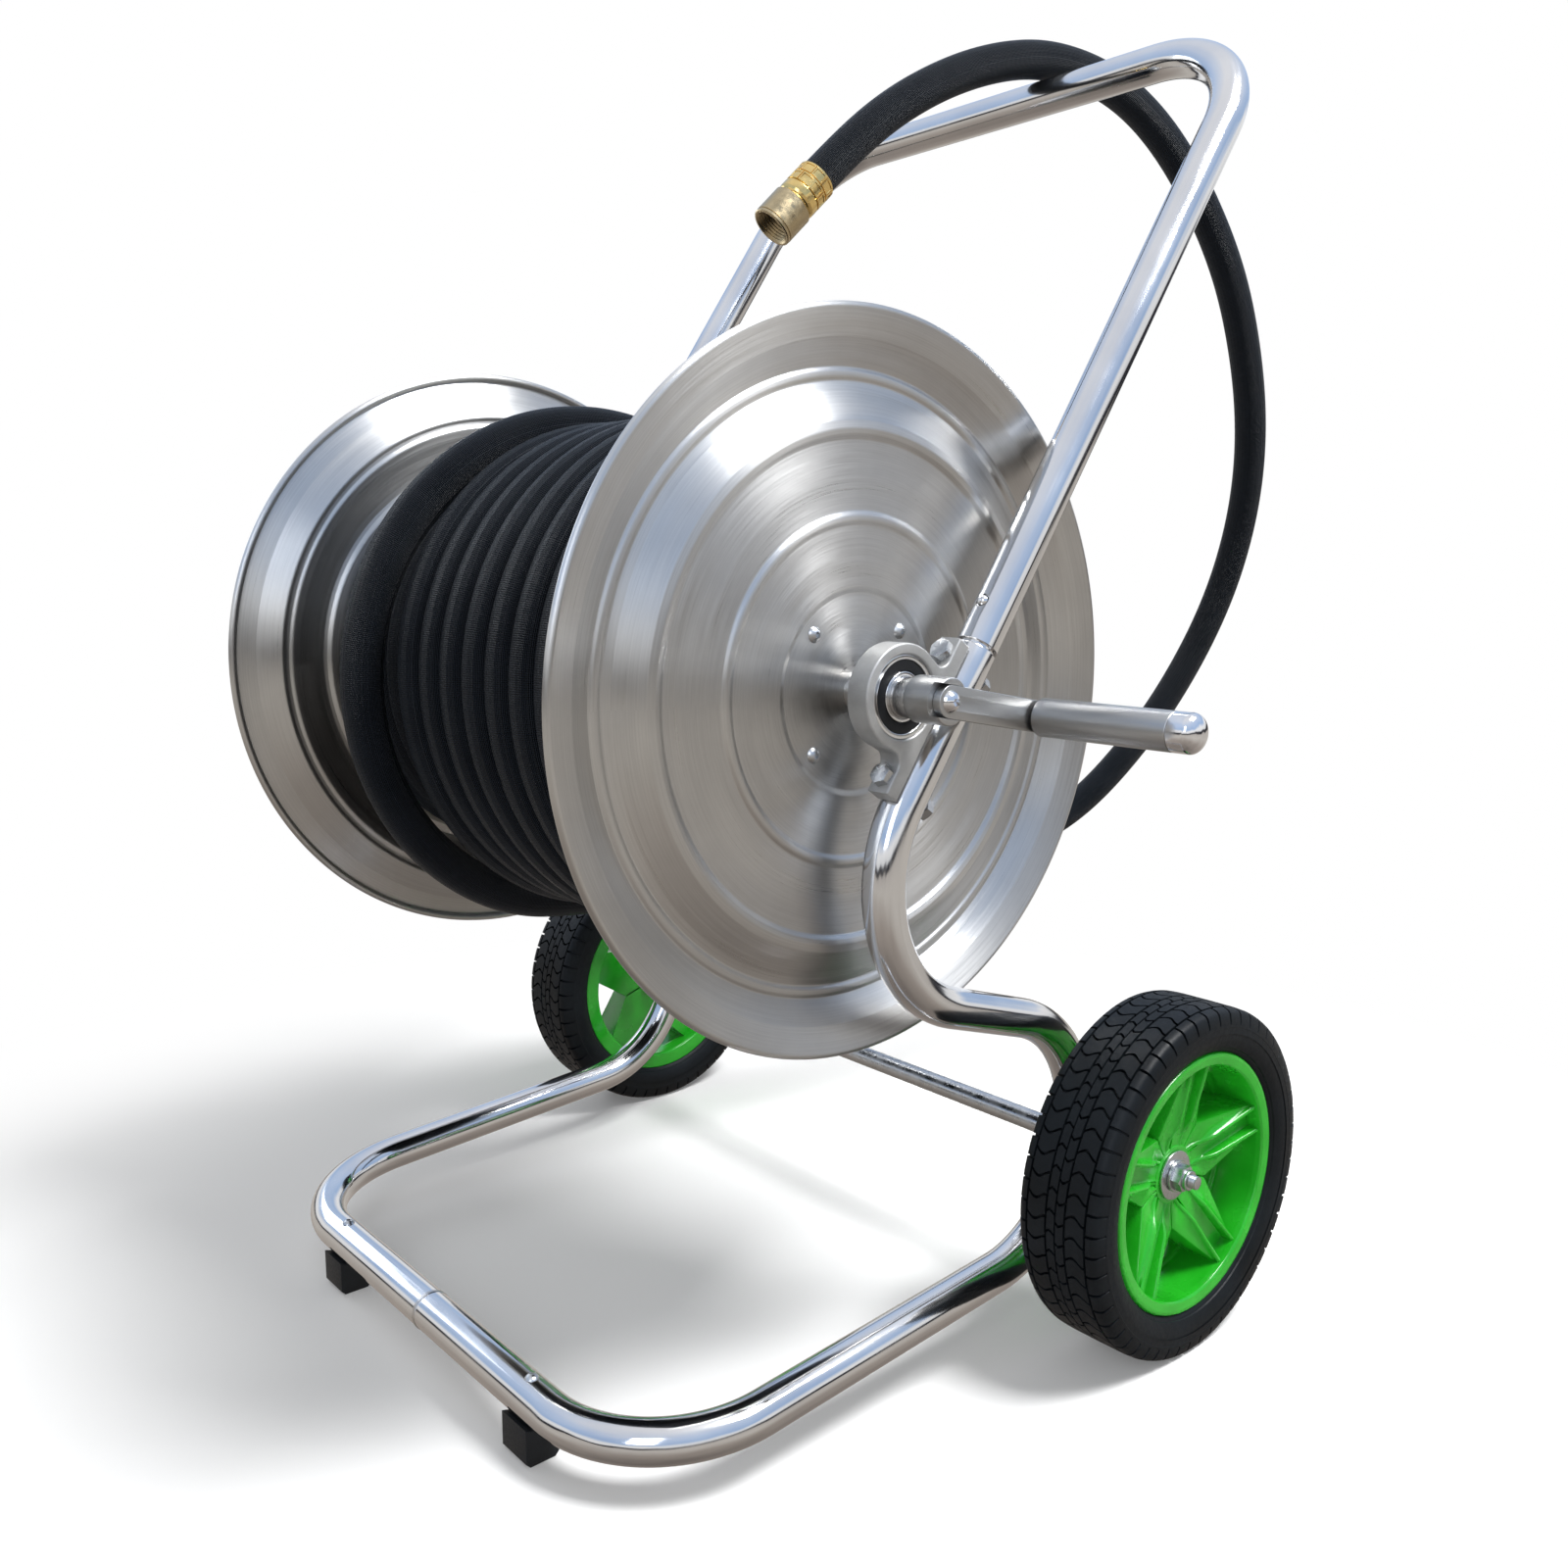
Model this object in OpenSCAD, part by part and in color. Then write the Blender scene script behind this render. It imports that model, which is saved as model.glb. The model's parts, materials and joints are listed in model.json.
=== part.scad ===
// Garden hose reel cart: a bent tube frame on two wheels, with a crank reel between its side tubes.
// Millimetres. +X is the crank side, +Y the handle side, +Z up. The ground is at Z = 0.
// Inside the modules the reel's axis is at Y = 0 and X = 0 is halfway between the side tubes.
// place() then moves everything so that the origin is under the middle of the cart's box.

/* [Tubes] */
// Outside diameter of the frame and handle tubes
tube_d = 28; // [27:0.5:29]
// Wall thickness of the tubes
tube_wall = 1.5; // [1.4:0.1:1.7]
// Bend radius of the tubes, on the centre line
bend_r = 95; // [92:1:98]
// Distance between the centre lines of the two side tubes
side_gap = 500; // [496:1:510]
// Distance of the front bar from the reel's axis, front to back
front_reach = 199; // [195:1:205]
// Length of a floor rail, from the front bar to its rear bend
rail_len = 311; // [300:1:320]
// Upward slope of a floor rail, in degrees
rail_rise = 4.1; // [3.5:0.1:4.6]
// Direction of the rear bend's end, in degrees
rear_bend_end = 72.7; // [71:0.1:74]
// Backward lean of the handle, in degrees
handle_lean = 34.5; // [33:0.5:36]
// Length of the handle, from the reel's axis to its bar
handle_len = 599; // [580:1:620]

/* [Reel] */
// Height of the reel's axis
shaft_z = 478; // [474:1:482]
// Diameter of the shaft
shaft_d = 25; // [24.8:0.1:25]
// Distance of the shaft from the side tubes' centre lines
shaft_stand = 46; // [45.5:0.5:47]
// Radius of the flanges
flange_r = 234; // [230:1:236]
// Radius of the drum under the hose
drum_r = 100; // [90:1:100]
// Crank radius, from the shaft to the grip
crank_r = 85; // [80:1:90]
// Angle of the crank arm below the horizontal, in degrees
crank_drop = 10; // [0:1:20]

/* [Hose] */
// Outside diameter of the hose
hose_d = 30; // [28:0.5:30]
// Outer radius of the winding on its inlet side
wound_low_r = 158; // [150:1:158]
// Outer radius of the winding on its crank side
wound_high_r = 184; // [176:1:184]

/* [Wheels] */
// Diameter of the wheels
wheel_d = 254; // [252:1:256]
// Width of the tyres
tyre_w = 67; // [64:1:68]
// Diameter of the axle
axle_d = 16; // [15.9:0.1:16]
// Height of the rubber feet under the front bar
foot_h = 22; // [20:1:24]

/* [Hidden] */
$fn = 48;

tube_r = tube_d / 2;
bore_r = tube_r - tube_wall;
side_x = side_gap / 2;
corner_x = side_x - bend_r;
bar_y = -front_reach;
bar_z = foot_h + tube_r;
slide_gap = 0.05;
touch_gap = 0.1;
// Straight stretches run this far into the bends beside them, and are thinner by this much
join_lap = 2;
join_step = 0.08;

// Side tube, as points and directions in the (Y, Z) plane
function heading(a) = [cos(a), sin(a)];
rail_dir = heading(rail_rise);
corner_at = [bar_y, bar_z] + bend_r * rail_dir;
rear_c = [bar_y, bar_z] + rail_len * rail_dir + bend_r * heading(rail_rise + 90);
waist_a = rear_bend_end + 90;
waist_from = rear_c + bend_r * heading(rear_bend_end);
lean_dir = heading(90 - handle_lean);
back_dir = heading(-handle_lean);
shaft_at = [0, shaft_z];
neck = shaft_at + shaft_stand * back_dir;
front_a = 180 - handle_lean;
waist_probe = waist_from + bend_r * heading(rear_bend_end) + bend_r * heading(front_a);
waist_len = (shaft_stand - (waist_probe - shaft_at) * back_dir) / (heading(waist_a) * back_dir);
front_c = waist_from + waist_len * heading(waist_a) + bend_r * heading(rear_bend_end);
neck_drop = (neck - front_c - bend_r * heading(front_a)) * lean_dir;

// Joint between the frame and the handle, as distances along the lean from the neck
shoulder_s = 61.5;
sleeve_s = 64;
spigot_s = 132;
spigot_r = bore_r - touch_gap;
spigot_wall = 1.5;
swage_len = 2;
button_s = 91.6;
button_r = 4.2;
button_hole_r = 4.6;
button_base_r = 5.6;
button_base_n = 7.5;
button_base_h = 1.5;
button_top_n = 16.3;
spring_w = 7;
spring_t = 0.8;
spring_low_n = -10.2;
spring_bend_s = 62;
spring_arm_end = 100;
spring_foot_end = 112;

// Pillow block and its ball bearing (25 x 52 x 15)
bearing_r = 26;
bearing_w = 15;
housing_w = 17.5;
housing_r = 33;
housing_len = 112;
pad_h = 11;
web_foot_s = 36.5;
web_top_s = 29;
web_top_n = 37;
bolt_s = 45;
bolt_r = 4;
bolt_hole_r = 4.5;
bolt_af = 13;
bolt_head_h = 5.3;
nut_h = 6.5;
inner_ring_r = 15.6;
outer_ring_bore = 22.8;
ball_pcr = 19.2;
ball_r = 3.95;
race_r = 4.02;
ball_count = 9;
seal_in_r = 15.9;
seal_t = 1;
seal_inset = 0.6;
circlip_w = 1.2;
circlip_r = 15.2;
circlip_in_r = 12;

// Shaft
shaft_r = shaft_d / 2;
shaft_end = 272;
crank_spigot_r = 8;
crank_spigot_len = 13.8;
inlet_spigot_r = 9.95;
inlet_spigot_len = 24;
water_r = 6.5;
outlet_x = 178;

// Flanges, as [radius, distance from the middle] along the outer face
flange_t = 1.3;
lip_roll_r = 2.9;
lip_x = 224.2;
flange_face = [
    [12.6, 217], [62.5, 217], [66, 218.5], [104, 219], [106.5, 220.6], [109.5, 220.6], [112, 219],
    [155, 220], [158, 222], [161, 222.8], [166, 222], [184, 213], [190, 211], [192.5, 212.4],
    [195.5, 212.4], [198, 211], [214.5, 221], [229, 226.6]
];
flange_screw_pcr = 52.5;
flange_screw_r = 3;
flange_seat_x = 217;
hub_plate_r = 60;
hub_plate_t = 5;
hub_boss_r = 20;
hub_boss_len = 20;
hub_screw_r = 4;
drum_wall = 1.5;
drum_half = 217.4;
wound_half = 207;
wound_step_x = -43;

// Crank
hub_x = 270;
hub_r = 14.5;
crank_x = 290;
crank_t = 6;
crank_w = 20;
grip_x = 298;
grip_len = 96;
grip_r = 12.25;
spindle_r = 5;
spindle_end = 385;
spindle_head_r = 8.5;
spindle_head_h = 4;
cap_len = 10;
cap_dome_h = 8;
key_w = 4;

// Inlet swivel
swivel_x = -274;
swivel_r = 16;
swivel_len = 32;
swivel_hex_h = 9;
swivel_hex_af = 32;
inlet_thread_r = 13.2;
inlet_end = -340;
clip_x = -290;
clip_w = 1.4;

// Wheels and axle
wheel_r = wheel_d / 2;
axle_r = axle_d / 2;
axle_reach = bend_r + tube_r + axle_r + slide_gap;
axle_y = rear_c[0] + sqrt(axle_reach * axle_reach - (rear_c[1] - wheel_r) * (rear_c[1] - wheel_r));
axle_end = 344;
axle_turned_x = 326.2;
axle_stud_r = 5;
tyre_mid = 316.5;
rim_x = 290;
rim_w = 55;
rim_r = 95;
rim_bore = 87;
hub_in_x = 292.2;
hub_out_x = 324;
wheel_hub_r = 19;
bush_r = 11;
bush_len = 12;
spoke_count = 5;
spoke_x = 300;
spoke_t = 4;
rib_t = 5;
rib_h = 18;

// Feet
foot_x = 136;
foot_w = 30;
foot_l = 24;
foot_saddle = 2;
foot_taper = 3;
foot_screw_r = 2.5;

// End fitting of the hose, along its own axis from the hose's end
fit_at = [-8, 168, 856];
fit_tilt = 136;
fit_turn = -107;
ferrule_len = 30;
ferrule_r = 16.6;
tail_r = 9.4;
tail_bore = 7;
coupling_from = 30.4;
coupling_to = 57;
coupling_r = 17.3;
coupling_bore = 13.3;
coupling_wall = 3.2;
coupling_relief = 6.1;
lug_r = 20;

// Route of the free hose after it has left the winding
hose_route = [
    [-110, 0, 284], [-111, 68, 277], [-110, 137, 271], [-107, 205, 266], [-104, 273, 261],
    [-98, 341, 257], [-92, 410, 255], [-83, 478, 260], [-73, 544, 274], [-61, 606, 301],
    [-47, 658, 343], [-28, 697, 396], [-6, 722, 456], [18, 731, 519], [40, 727, 584],
    [59, 710, 648], [72, 685, 710], [79, 654, 771], [82, 617, 828], [79, 573, 882],
    [73, 523, 928], [63, 465, 962], [49, 399, 976], [43, 371, 975], [34, 333, 967],
    [19, 272, 941], [6, 216, 903], fit_at
];
wrap_from = [-60, 175.5];
wrap_to = [-110, 194];
wrap_sweep = 270;
wrap_step = 15;
hose_sides = 10;

// Middle of the box around everything but the hose
tyre_out_x = tyre_mid + tyre_w / 2;
crank_tip_x = grip_x + grip_len + cap_len + cap_dome_h;
handle_back = neck[0] + handle_len * lean_dir[0] + tube_r;
centre_x = (crank_tip_x - tyre_out_x) / 2;
centre_y = (handle_back - flange_r) / 2;

// ---- Places ----

module place() { translate([-centre_x, -centre_y, 0]) children(); }

module mirrored() { mirror([1, 0, 0]) children(); }

module both_sides() {
    children();
    mirrored() children();
}

// The (Y, Z) plane at x, drawn as (X, Y)
module side_plane(x) { translate([x, 0, 0]) rotate([90, 0, 90]) children(); }

// The handle's plane: Y runs up the tubes from the neck and Z points forward, to the shaft
module handle_plane() {
    translate([0, neck[0], neck[1]]) rotate([90 - handle_lean, 0, 0]) children();
}

module on_shaft(x) { translate([x, 0, shaft_z]) rotate([0, 90, 0]) children(); }

module on_axle(x) { translate([x, axle_y, wheel_r]) rotate([0, 90, 0]) children(); }

module on_grip(x) {
    grip_y = crank_r * cos(crank_drop);
    grip_z = shaft_z - crank_r * sin(crank_drop);
    translate([x, grip_y, grip_z]) rotate([0, 90, 0]) children();
}

module on_fitting(along) {
    translate(fit_at) rotate([0, fit_tilt, fit_turn]) translate([0, 0, along]) children();
}

// ---- Shapes that repeat ----

module ring(outer, inner, h) {
    difference() {
        cylinder(h = h, r = outer);
        translate([0, 0, -1]) cylinder(h = h + 2, r = inner);
    }
}

module torus(big_r, small_r) { rotate_extrude() translate([big_r, 0]) circle(r = small_r); }

module hexagon(af, h) { cylinder(h = h, r = af / sqrt(3), $fn = 6); }

module hex_nut(af, h, hole_r) {
    difference() {
        hexagon(af, h);
        translate([0, 0, -1]) cylinder(h = h + 2, r = hole_r);
    }
}

// Domed screw head with its socket, seated at Z = 0
module button_head(r, h, socket_af) {
    dome_r = (r * r + h * h) / (2 * h);
    difference() {
        rotate_extrude() intersection() {
            translate([0, h - dome_r]) circle(r = dome_r);
            square([r, h]);
        }
        translate([0, 0, h / 3]) hexagon(socket_af, h);
    }
}

module stick(from, direction, len, r) {
    translate([from[0], from[1], 0]) rotate([0, 0, direction]) rotate([0, 90, 0])
        translate([0, 0, -join_lap]) cylinder(h = len + 2 * join_lap, r = r - join_step);
}

module bend(centre, from, sweep, r) {
    translate([centre[0], centre[1], 0]) rotate([0, 0, from])
        rotate_extrude(angle = sweep) translate([bend_r, 0]) circle(r = r);
}

// ---- Frame ----

// One side tube with its half of the front bar, from start_x to top_s up the neck
module side_run(r, start_x, top_s) {
    translate([start_x, bar_y, bar_z]) rotate([0, 90, 0])
        cylinder(h = corner_x - start_x + join_lap, r = r - join_step);
    translate([corner_x, corner_at[0], corner_at[1]]) rotate([rail_rise, 0, 0])
        bend([0, 0], -90, 90, r);
    side_plane(side_x) {
        stick(corner_at, rail_rise, rail_len - bend_r, r);
        bend(rear_c, rail_rise - 90, rear_bend_end + 90 - rail_rise, r);
        stick(waist_from, waist_a, waist_len, r);
        bend(front_c, front_a, rear_bend_end + handle_lean, r);
    }
    handle_plane() translate([side_x, -neck_drop - join_lap, 0]) rotate([-90, 0, 0])
        cylinder(h = neck_drop + join_lap + top_s, r = r - join_step);
}

module frame_tube() {
    color("silver") difference() {
        union() {
            side_run(tube_r, 0, shoulder_s);
            handle_plane() translate([side_x, shoulder_s, 0]) rotate([-90, 0, 0])
                cylinder(h = spigot_s - shoulder_s, r = spigot_r);
        }
        side_run(bore_r, -1, shoulder_s - swage_len);
        handle_plane() translate([side_x, shoulder_s - 2 * swage_len, 0]) rotate([-90, 0, 0])
            cylinder(h = spigot_s, r = spigot_r - spigot_wall);
        handle_plane() for (s = [-bolt_s, bolt_s])
            translate([side_x, s, -tube_d]) cylinder(h = 2 * tube_d, r = bolt_hole_r);
        handle_plane() translate([side_x, button_s, 0]) cylinder(h = tube_d, r = button_hole_r);
        translate([foot_x, bar_y, 0]) cylinder(h = bar_z + tube_d, r = foot_screw_r + touch_gap);
    }
}

module frame_tube_right() { frame_tube(); }

module frame_tube_left() { mirrored() frame_tube(); }

module centre_weld() {
    color("gainsboro") translate([-2, bar_y, bar_z]) rotate([0, 90, 0])
        ring(tube_r + 0.8, tube_r + slide_gap, 4);
}

module handle_run(r, lower_s) {
    leg_s = handle_len - bend_r;
    for (x = [-side_x, side_x])
        translate([x, lower_s, 0]) rotate([-90, 0, 0]) cylinder(h = leg_s - lower_s, r = r);
    bend([corner_x, leg_s], 0, 90, r);
    bend([-corner_x, leg_s], 90, 90, r);
    translate([-corner_x, handle_len, 0]) rotate([0, 90, 0]) cylinder(h = 2 * corner_x, r = r);
}

module handle_tube() {
    color("silver") handle_plane() difference() {
        handle_run(tube_r, sleeve_s);
        handle_run(bore_r, sleeve_s - 1);
        for (x = [-side_x, side_x])
            translate([x, button_s, 0]) cylinder(h = tube_d, r = button_hole_r);
    }
}

module snap_button() {
    color("gainsboro") handle_plane() translate([side_x, button_s, 0]) {
        translate([0, 0, button_base_n]) cylinder(h = button_base_h, r = button_base_r);
        translate([0, 0, button_base_n]) cylinder(h = button_top_n - button_base_n - 2, r = button_r);
        translate([0, 0, button_top_n - 2]) rotate_extrude() intersection() {
            translate([0, 2 - button_r * 1.4]) circle(r = button_r * 1.4);
            square([button_r - 0.2, 2]);
        }
    }
}

module snap_button_right() { snap_button(); }

module snap_button_left() { mirrored() snap_button(); }

// Leaf spring bent into a U inside the spigot
module button_spring() {
    top_n = button_base_n - touch_gap;
    mid_n = (top_n + spring_low_n) / 2;
    bend_out = (top_n - spring_low_n) / 2;
    color("dimgray") handle_plane() side_plane(side_x - spring_w / 2) linear_extrude(spring_w) {
        translate([spring_bend_s, top_n - spring_t])
            square([spring_arm_end - spring_bend_s, spring_t]);
        translate([spring_bend_s, spring_low_n])
            square([spring_foot_end - spring_bend_s, spring_t]);
        translate([spring_bend_s, mid_n]) difference() {
            circle(r = bend_out);
            circle(r = bend_out - spring_t);
            translate([0, -bend_out - 1]) square(2 * bend_out + 2);
        }
    }
}

module button_spring_right() { button_spring(); }

module button_spring_left() { mirrored() button_spring(); }

module foot() {
    half_l = foot_l / 2;
    top_z = foot_h + foot_saddle;
    color("#1c1c1c") difference() {
        translate([foot_x - foot_w / 2, bar_y - foot_saddle, 0]) rotate([90, 0, 90])
            linear_extrude(foot_w) polygon([
                [-half_l, foot_taper], [foot_taper - half_l, 0], [half_l - foot_taper, 0],
                [half_l, foot_taper], [half_l, top_z], [-half_l, top_z]
            ]);
        translate([0, bar_y, bar_z]) rotate([0, 90, 0]) cylinder(h = side_x, r = tube_r + touch_gap);
        translate([foot_x, bar_y, foot_h / 4]) cylinder(h = foot_h, r = foot_screw_r + slide_gap);
    }
}

module foot_right() { foot(); }

module foot_left() { mirrored() foot(); }

module foot_screws() {
    head_z = bar_z + tube_r + touch_gap;
    low_z = foot_h / 3;
    color("gainsboro") both_sides() {
        translate([foot_x, bar_y, head_z]) button_head(4.6, 2.8, 3);
        translate([foot_x, bar_y, low_z]) cylinder(h = head_z - low_z, r = foot_screw_r);
    }
}

// ---- Bearings ----

module housing_outline() {
    seat_n = tube_r + touch_gap;
    pad_top = seat_n + pad_h;
    intersection() {
        translate([0, shaft_stand]) circle(r = housing_r);
        translate([-housing_r, seat_n]) square([2 * housing_r, shaft_stand + housing_r]);
    }
    translate([-housing_len / 2, seat_n]) square([housing_len, pad_h]);
    polygon([
        [-web_foot_s, pad_top - 1], [web_foot_s, pad_top - 1], [web_foot_s, pad_top],
        [web_top_s, web_top_n], [-web_top_s, web_top_n], [-web_foot_s, pad_top]
    ]);
}

module bearing_housing() {
    color("darkgray") handle_plane() side_plane(side_x - housing_w / 2) difference() {
        linear_extrude(housing_w) housing_outline();
        translate([0, shaft_stand, -1]) cylinder(h = housing_w + 2, r = bearing_r + slide_gap);
        for (s = [-bolt_s, bolt_s])
            translate([s, 0, housing_w / 2]) rotate([-90, 0, 0]) cylinder(h = 2 * tube_d, r = bolt_hole_r);
    }
}

module bearing_housing_right() { bearing_housing(); }

module bearing_housing_left() { mirrored() bearing_housing(); }

module housing_bolts() {
    head_n = tube_r + touch_gap + pad_h + touch_gap;
    tail_n = -tube_r - touch_gap - nut_h - 2;
    color("lightgray") both_sides() handle_plane() for (s = [-bolt_s, bolt_s]) {
        translate([side_x, s, head_n]) hexagon(bolt_af, bolt_head_h);
        translate([side_x, s, tail_n]) cylinder(h = head_n - tail_n, r = bolt_r);
    }
}

module housing_nuts() {
    color("lightgray") both_sides() handle_plane() for (s = [-bolt_s, bolt_s])
        translate([side_x, s, -tube_r - touch_gap - nut_h]) hex_nut(bolt_af, nut_h, bolt_r + slide_gap);
}

module bearing_race(outer, inner) {
    on_shaft(side_x - bearing_w / 2) difference() {
        ring(outer, inner, bearing_w);
        translate([0, 0, bearing_w / 2]) torus(ball_pcr, race_r);
    }
}

module bearing_outer_rings() {
    color("gainsboro") both_sides() bearing_race(bearing_r, outer_ring_bore);
}

module bearing_inner_rings() {
    color("gainsboro") both_sides() bearing_race(inner_ring_r, shaft_r + slide_gap);
}

module bearing_balls() {
    color("gainsboro") both_sides() on_shaft(side_x) for (i = [0:ball_count - 1])
        rotate([0, 0, 360 * i / ball_count]) translate([ball_pcr, 0, 0]) sphere(r = ball_r);
}

module bearing_seals() {
    color("#202020") both_sides() for (inset = [seal_inset, bearing_w - seal_inset - seal_t])
        on_shaft(side_x - bearing_w / 2 + inset) ring(outer_ring_bore - slide_gap, seal_in_r, seal_t);
}

// ---- Reel ----

module groove(r, depth_r, w) { ring(r + 2, depth_r, w); }

module circlip_x() {
    on_shaft(side_x - bearing_w / 2 - circlip_w - 2 * touch_gap) children();
}

module shaft() {
    key_r = crank_spigot_r - key_w / 2;
    color("silver") difference() {
        union() {
            on_shaft(-shaft_end) cylinder(h = 2 * shaft_end, r = shaft_r);
            on_shaft(shaft_end) cylinder(h = crank_spigot_len, r = crank_spigot_r);
            on_shaft(-shaft_end - inlet_spigot_len) cylinder(h = inlet_spigot_len, r = inlet_spigot_r);
        }
        on_shaft(-shaft_end - inlet_spigot_len - 1)
            cylinder(h = outlet_x + shaft_end + inlet_spigot_len + 1 + water_r, r = water_r);
        translate([outlet_x, 0, shaft_z]) cylinder(h = shaft_d, r = water_r);
        on_shaft(shaft_end - 4) cylinder(h = shaft_d, r = bolt_r + slide_gap);
        both_sides() circlip_x() groove(shaft_r, circlip_in_r - touch_gap, circlip_w + touch_gap);
        on_shaft(clip_x - touch_gap) groove(inlet_spigot_r, inlet_spigot_r - 1.5, clip_w + 2 * touch_gap);
        on_shaft(swivel_x - 8) groove(inlet_spigot_r, inlet_spigot_r - 2, 3);
        translate([shaft_end + 1, -key_w / 2 - slide_gap, shaft_z + key_r])
            cube([crank_spigot_len, key_w + 2 * slide_gap, key_w]);
    }
}

module shaft_circlips() {
    gap_w = 8;
    color("dimgray") both_sides() circlip_x() difference() {
        ring(circlip_r, circlip_in_r, circlip_w);
        translate([0, -gap_w / 2, -1]) cube([shaft_d, gap_w, circlip_w + 2]);
    }
}

module flange() {
    last = len(flange_face) - 1;
    profile = [
        for (p = flange_face) p,
        for (i = [last:-1:0]) [flange_face[i][0], flange_face[i][1] - flange_t]
    ];
    color("lightgray") difference() {
        on_shaft(0) union() {
            rotate_extrude() polygon(profile);
            translate([0, 0, lip_x]) torus(flange_r - lip_roll_r, lip_roll_r);
        }
        flange_screw_places(flange_seat_x - hub_plate_t) cylinder(h = 3 * hub_plate_t, r = flange_screw_r + 0.3);
    }
}

module flange_screw_places(x) {
    on_shaft(x) for (i = [0:3])
        rotate([0, 0, 45 + 90 * i]) translate([flange_screw_pcr, 0, 0]) children();
}

module flange_right() { flange(); }

module flange_left() { mirrored() flange(); }

module flange_screws() {
    color("gainsboro") both_sides() {
        flange_screw_places(flange_seat_x + slide_gap) button_head(5.2, 3.2, 4);
        flange_screw_places(flange_seat_x - 9) cylinder(h = 9 + slide_gap, r = flange_screw_r);
    }
}

// Disc and boss that carry a flange on the shaft
module hub_plate() {
    plate_x = flange_seat_x - flange_t - hub_plate_t;
    color("gray") difference() {
        on_shaft(plate_x) union() {
            cylinder(h = hub_plate_t, r = hub_plate_r);
            translate([0, 0, -hub_boss_len]) cylinder(h = hub_boss_len, r = hub_boss_r);
        }
        on_shaft(0) cylinder(h = side_x, r = shaft_r + slide_gap);
        flange_screw_places(plate_x - 1) cylinder(h = hub_plate_t + 2, r = flange_screw_r + slide_gap);
        hub_screw_places() cylinder(h = hub_boss_r, r = hub_screw_r);
    }
}

module hub_screw_places() {
    boss_mid = flange_seat_x - flange_t - hub_plate_t - hub_boss_len / 2;
    for (turn = [0, 90])
        on_shaft(boss_mid) rotate([0, 0, turn]) rotate([0, 90, 0]) translate([0, 0, shaft_r + touch_gap])
            children();
}

module hub_plate_right() { hub_plate(); }

module hub_plate_left() { mirrored() hub_plate(); }

module hub_screws() {
    color("dimgray") both_sides() hub_screw_places() difference() {
        cylinder(h = hub_boss_r - shaft_r - 1, r = hub_screw_r - slide_gap);
        translate([0, 0, hub_boss_r - shaft_r - 4]) hexagon(4, 4);
    }
}

module drum_core() {
    color("darkgray") difference() {
        on_shaft(-drum_half) ring(drum_r, drum_r - drum_wall, 2 * drum_half);
        translate([outlet_x, 0, shaft_z]) cylinder(h = 2 * drum_r, r = water_r + 2);
    }
}

// Brass pipe that takes the water from the shaft to the hose
module outlet_pipe() {
    color("goldenrod") difference() {
        translate([outlet_x, 0, shaft_z + shaft_r]) cylinder(h = drum_r - shaft_r - 0.5, r = water_r + 1.5);
        translate([outlet_x, 0, shaft_z]) cylinder(h = 2 * drum_r, r = water_r);
        on_shaft(-side_x) cylinder(h = side_x, r = shaft_r + slide_gap);
    }
}

module hose_winding() {
    inner_r = drum_r + 0.3;
    color("#16181b") on_shaft(0) rotate_extrude() polygon([
        [inner_r, -wound_half], [wound_low_r, -wound_half], [wound_low_r, wound_step_x],
        [wound_high_r, wound_step_x], [wound_high_r, wound_half], [inner_r, wound_half]
    ]);
}

// ---- Crank ----

module crank_plane(x) { side_plane(x) translate([0, shaft_z, 0]) rotate([0, 0, -crank_drop]) children(); }

module crank_hub() {
    color("silver") difference() {
        on_shaft(hub_x) cylinder(h = crank_x + crank_t - hub_x, r = hub_r);
        on_shaft(hub_x - 1) cylinder(h = shaft_end + crank_spigot_len - hub_x + 1.2, r = crank_spigot_r + slide_gap);
        on_shaft(hub_x - 1) cylinder(h = 3 + slide_gap, r = shaft_r + slide_gap);
        on_shaft(hub_x) cylinder(h = 2 * crank_w, r = bolt_r + touch_gap);
        crank_plane(crank_x) translate([-crank_w, -crank_w / 2 - slide_gap, 0])
            cube([2 * crank_w, crank_w + 2 * slide_gap, 2 * crank_t]);
        translate([shaft_end + 1, -key_w / 2 - slide_gap, shaft_z])
            cube([crank_spigot_len, key_w + 2 * slide_gap, crank_spigot_r + key_w / 2 + slide_gap]);
    }
}

module crank_key() {
    color("dimgray") translate([shaft_end + 1.5, -key_w / 2, shaft_z + crank_spigot_r - key_w / 2 + slide_gap])
        cube([10, key_w, key_w - slide_gap]);
}

module crank_arm() {
    color("silver") crank_plane(crank_x) difference() {
        linear_extrude(crank_t) {
            translate([0, -crank_w / 2]) square([crank_r, crank_w]);
            circle(r = crank_w / 2);
            translate([crank_r, 0]) circle(r = crank_w / 2);
        }
        translate([0, 0, -1]) cylinder(h = 2 * crank_t, r = bolt_r + touch_gap);
        translate([crank_r, 0, -1]) cylinder(h = 2 * crank_t, r = spindle_r + slide_gap);
    }
}

module crank_screw() {
    face_x = crank_x + crank_t + slide_gap;
    color("gainsboro") {
        on_shaft(face_x) button_head(7, 4.4, 5);
        on_shaft(shaft_end - 3) cylinder(h = face_x - shaft_end + 3, r = bolt_r);
    }
}

module grip_spindle() {
    rivet_h = 3;
    color("silver") {
        on_grip(crank_x - rivet_h - slide_gap) cylinder(h = rivet_h, r = 8);
        on_grip(crank_x - slide_gap) cylinder(h = spindle_end - crank_x + slide_gap, r = spindle_r);
        on_grip(spindle_end) cylinder(h = spindle_head_h, r = spindle_head_r);
    }
}

module grip_washer() {
    color("#202020") on_grip(crank_x + crank_t + touch_gap) ring(11, spindle_r + 0.3, 1.5);
}

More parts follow.
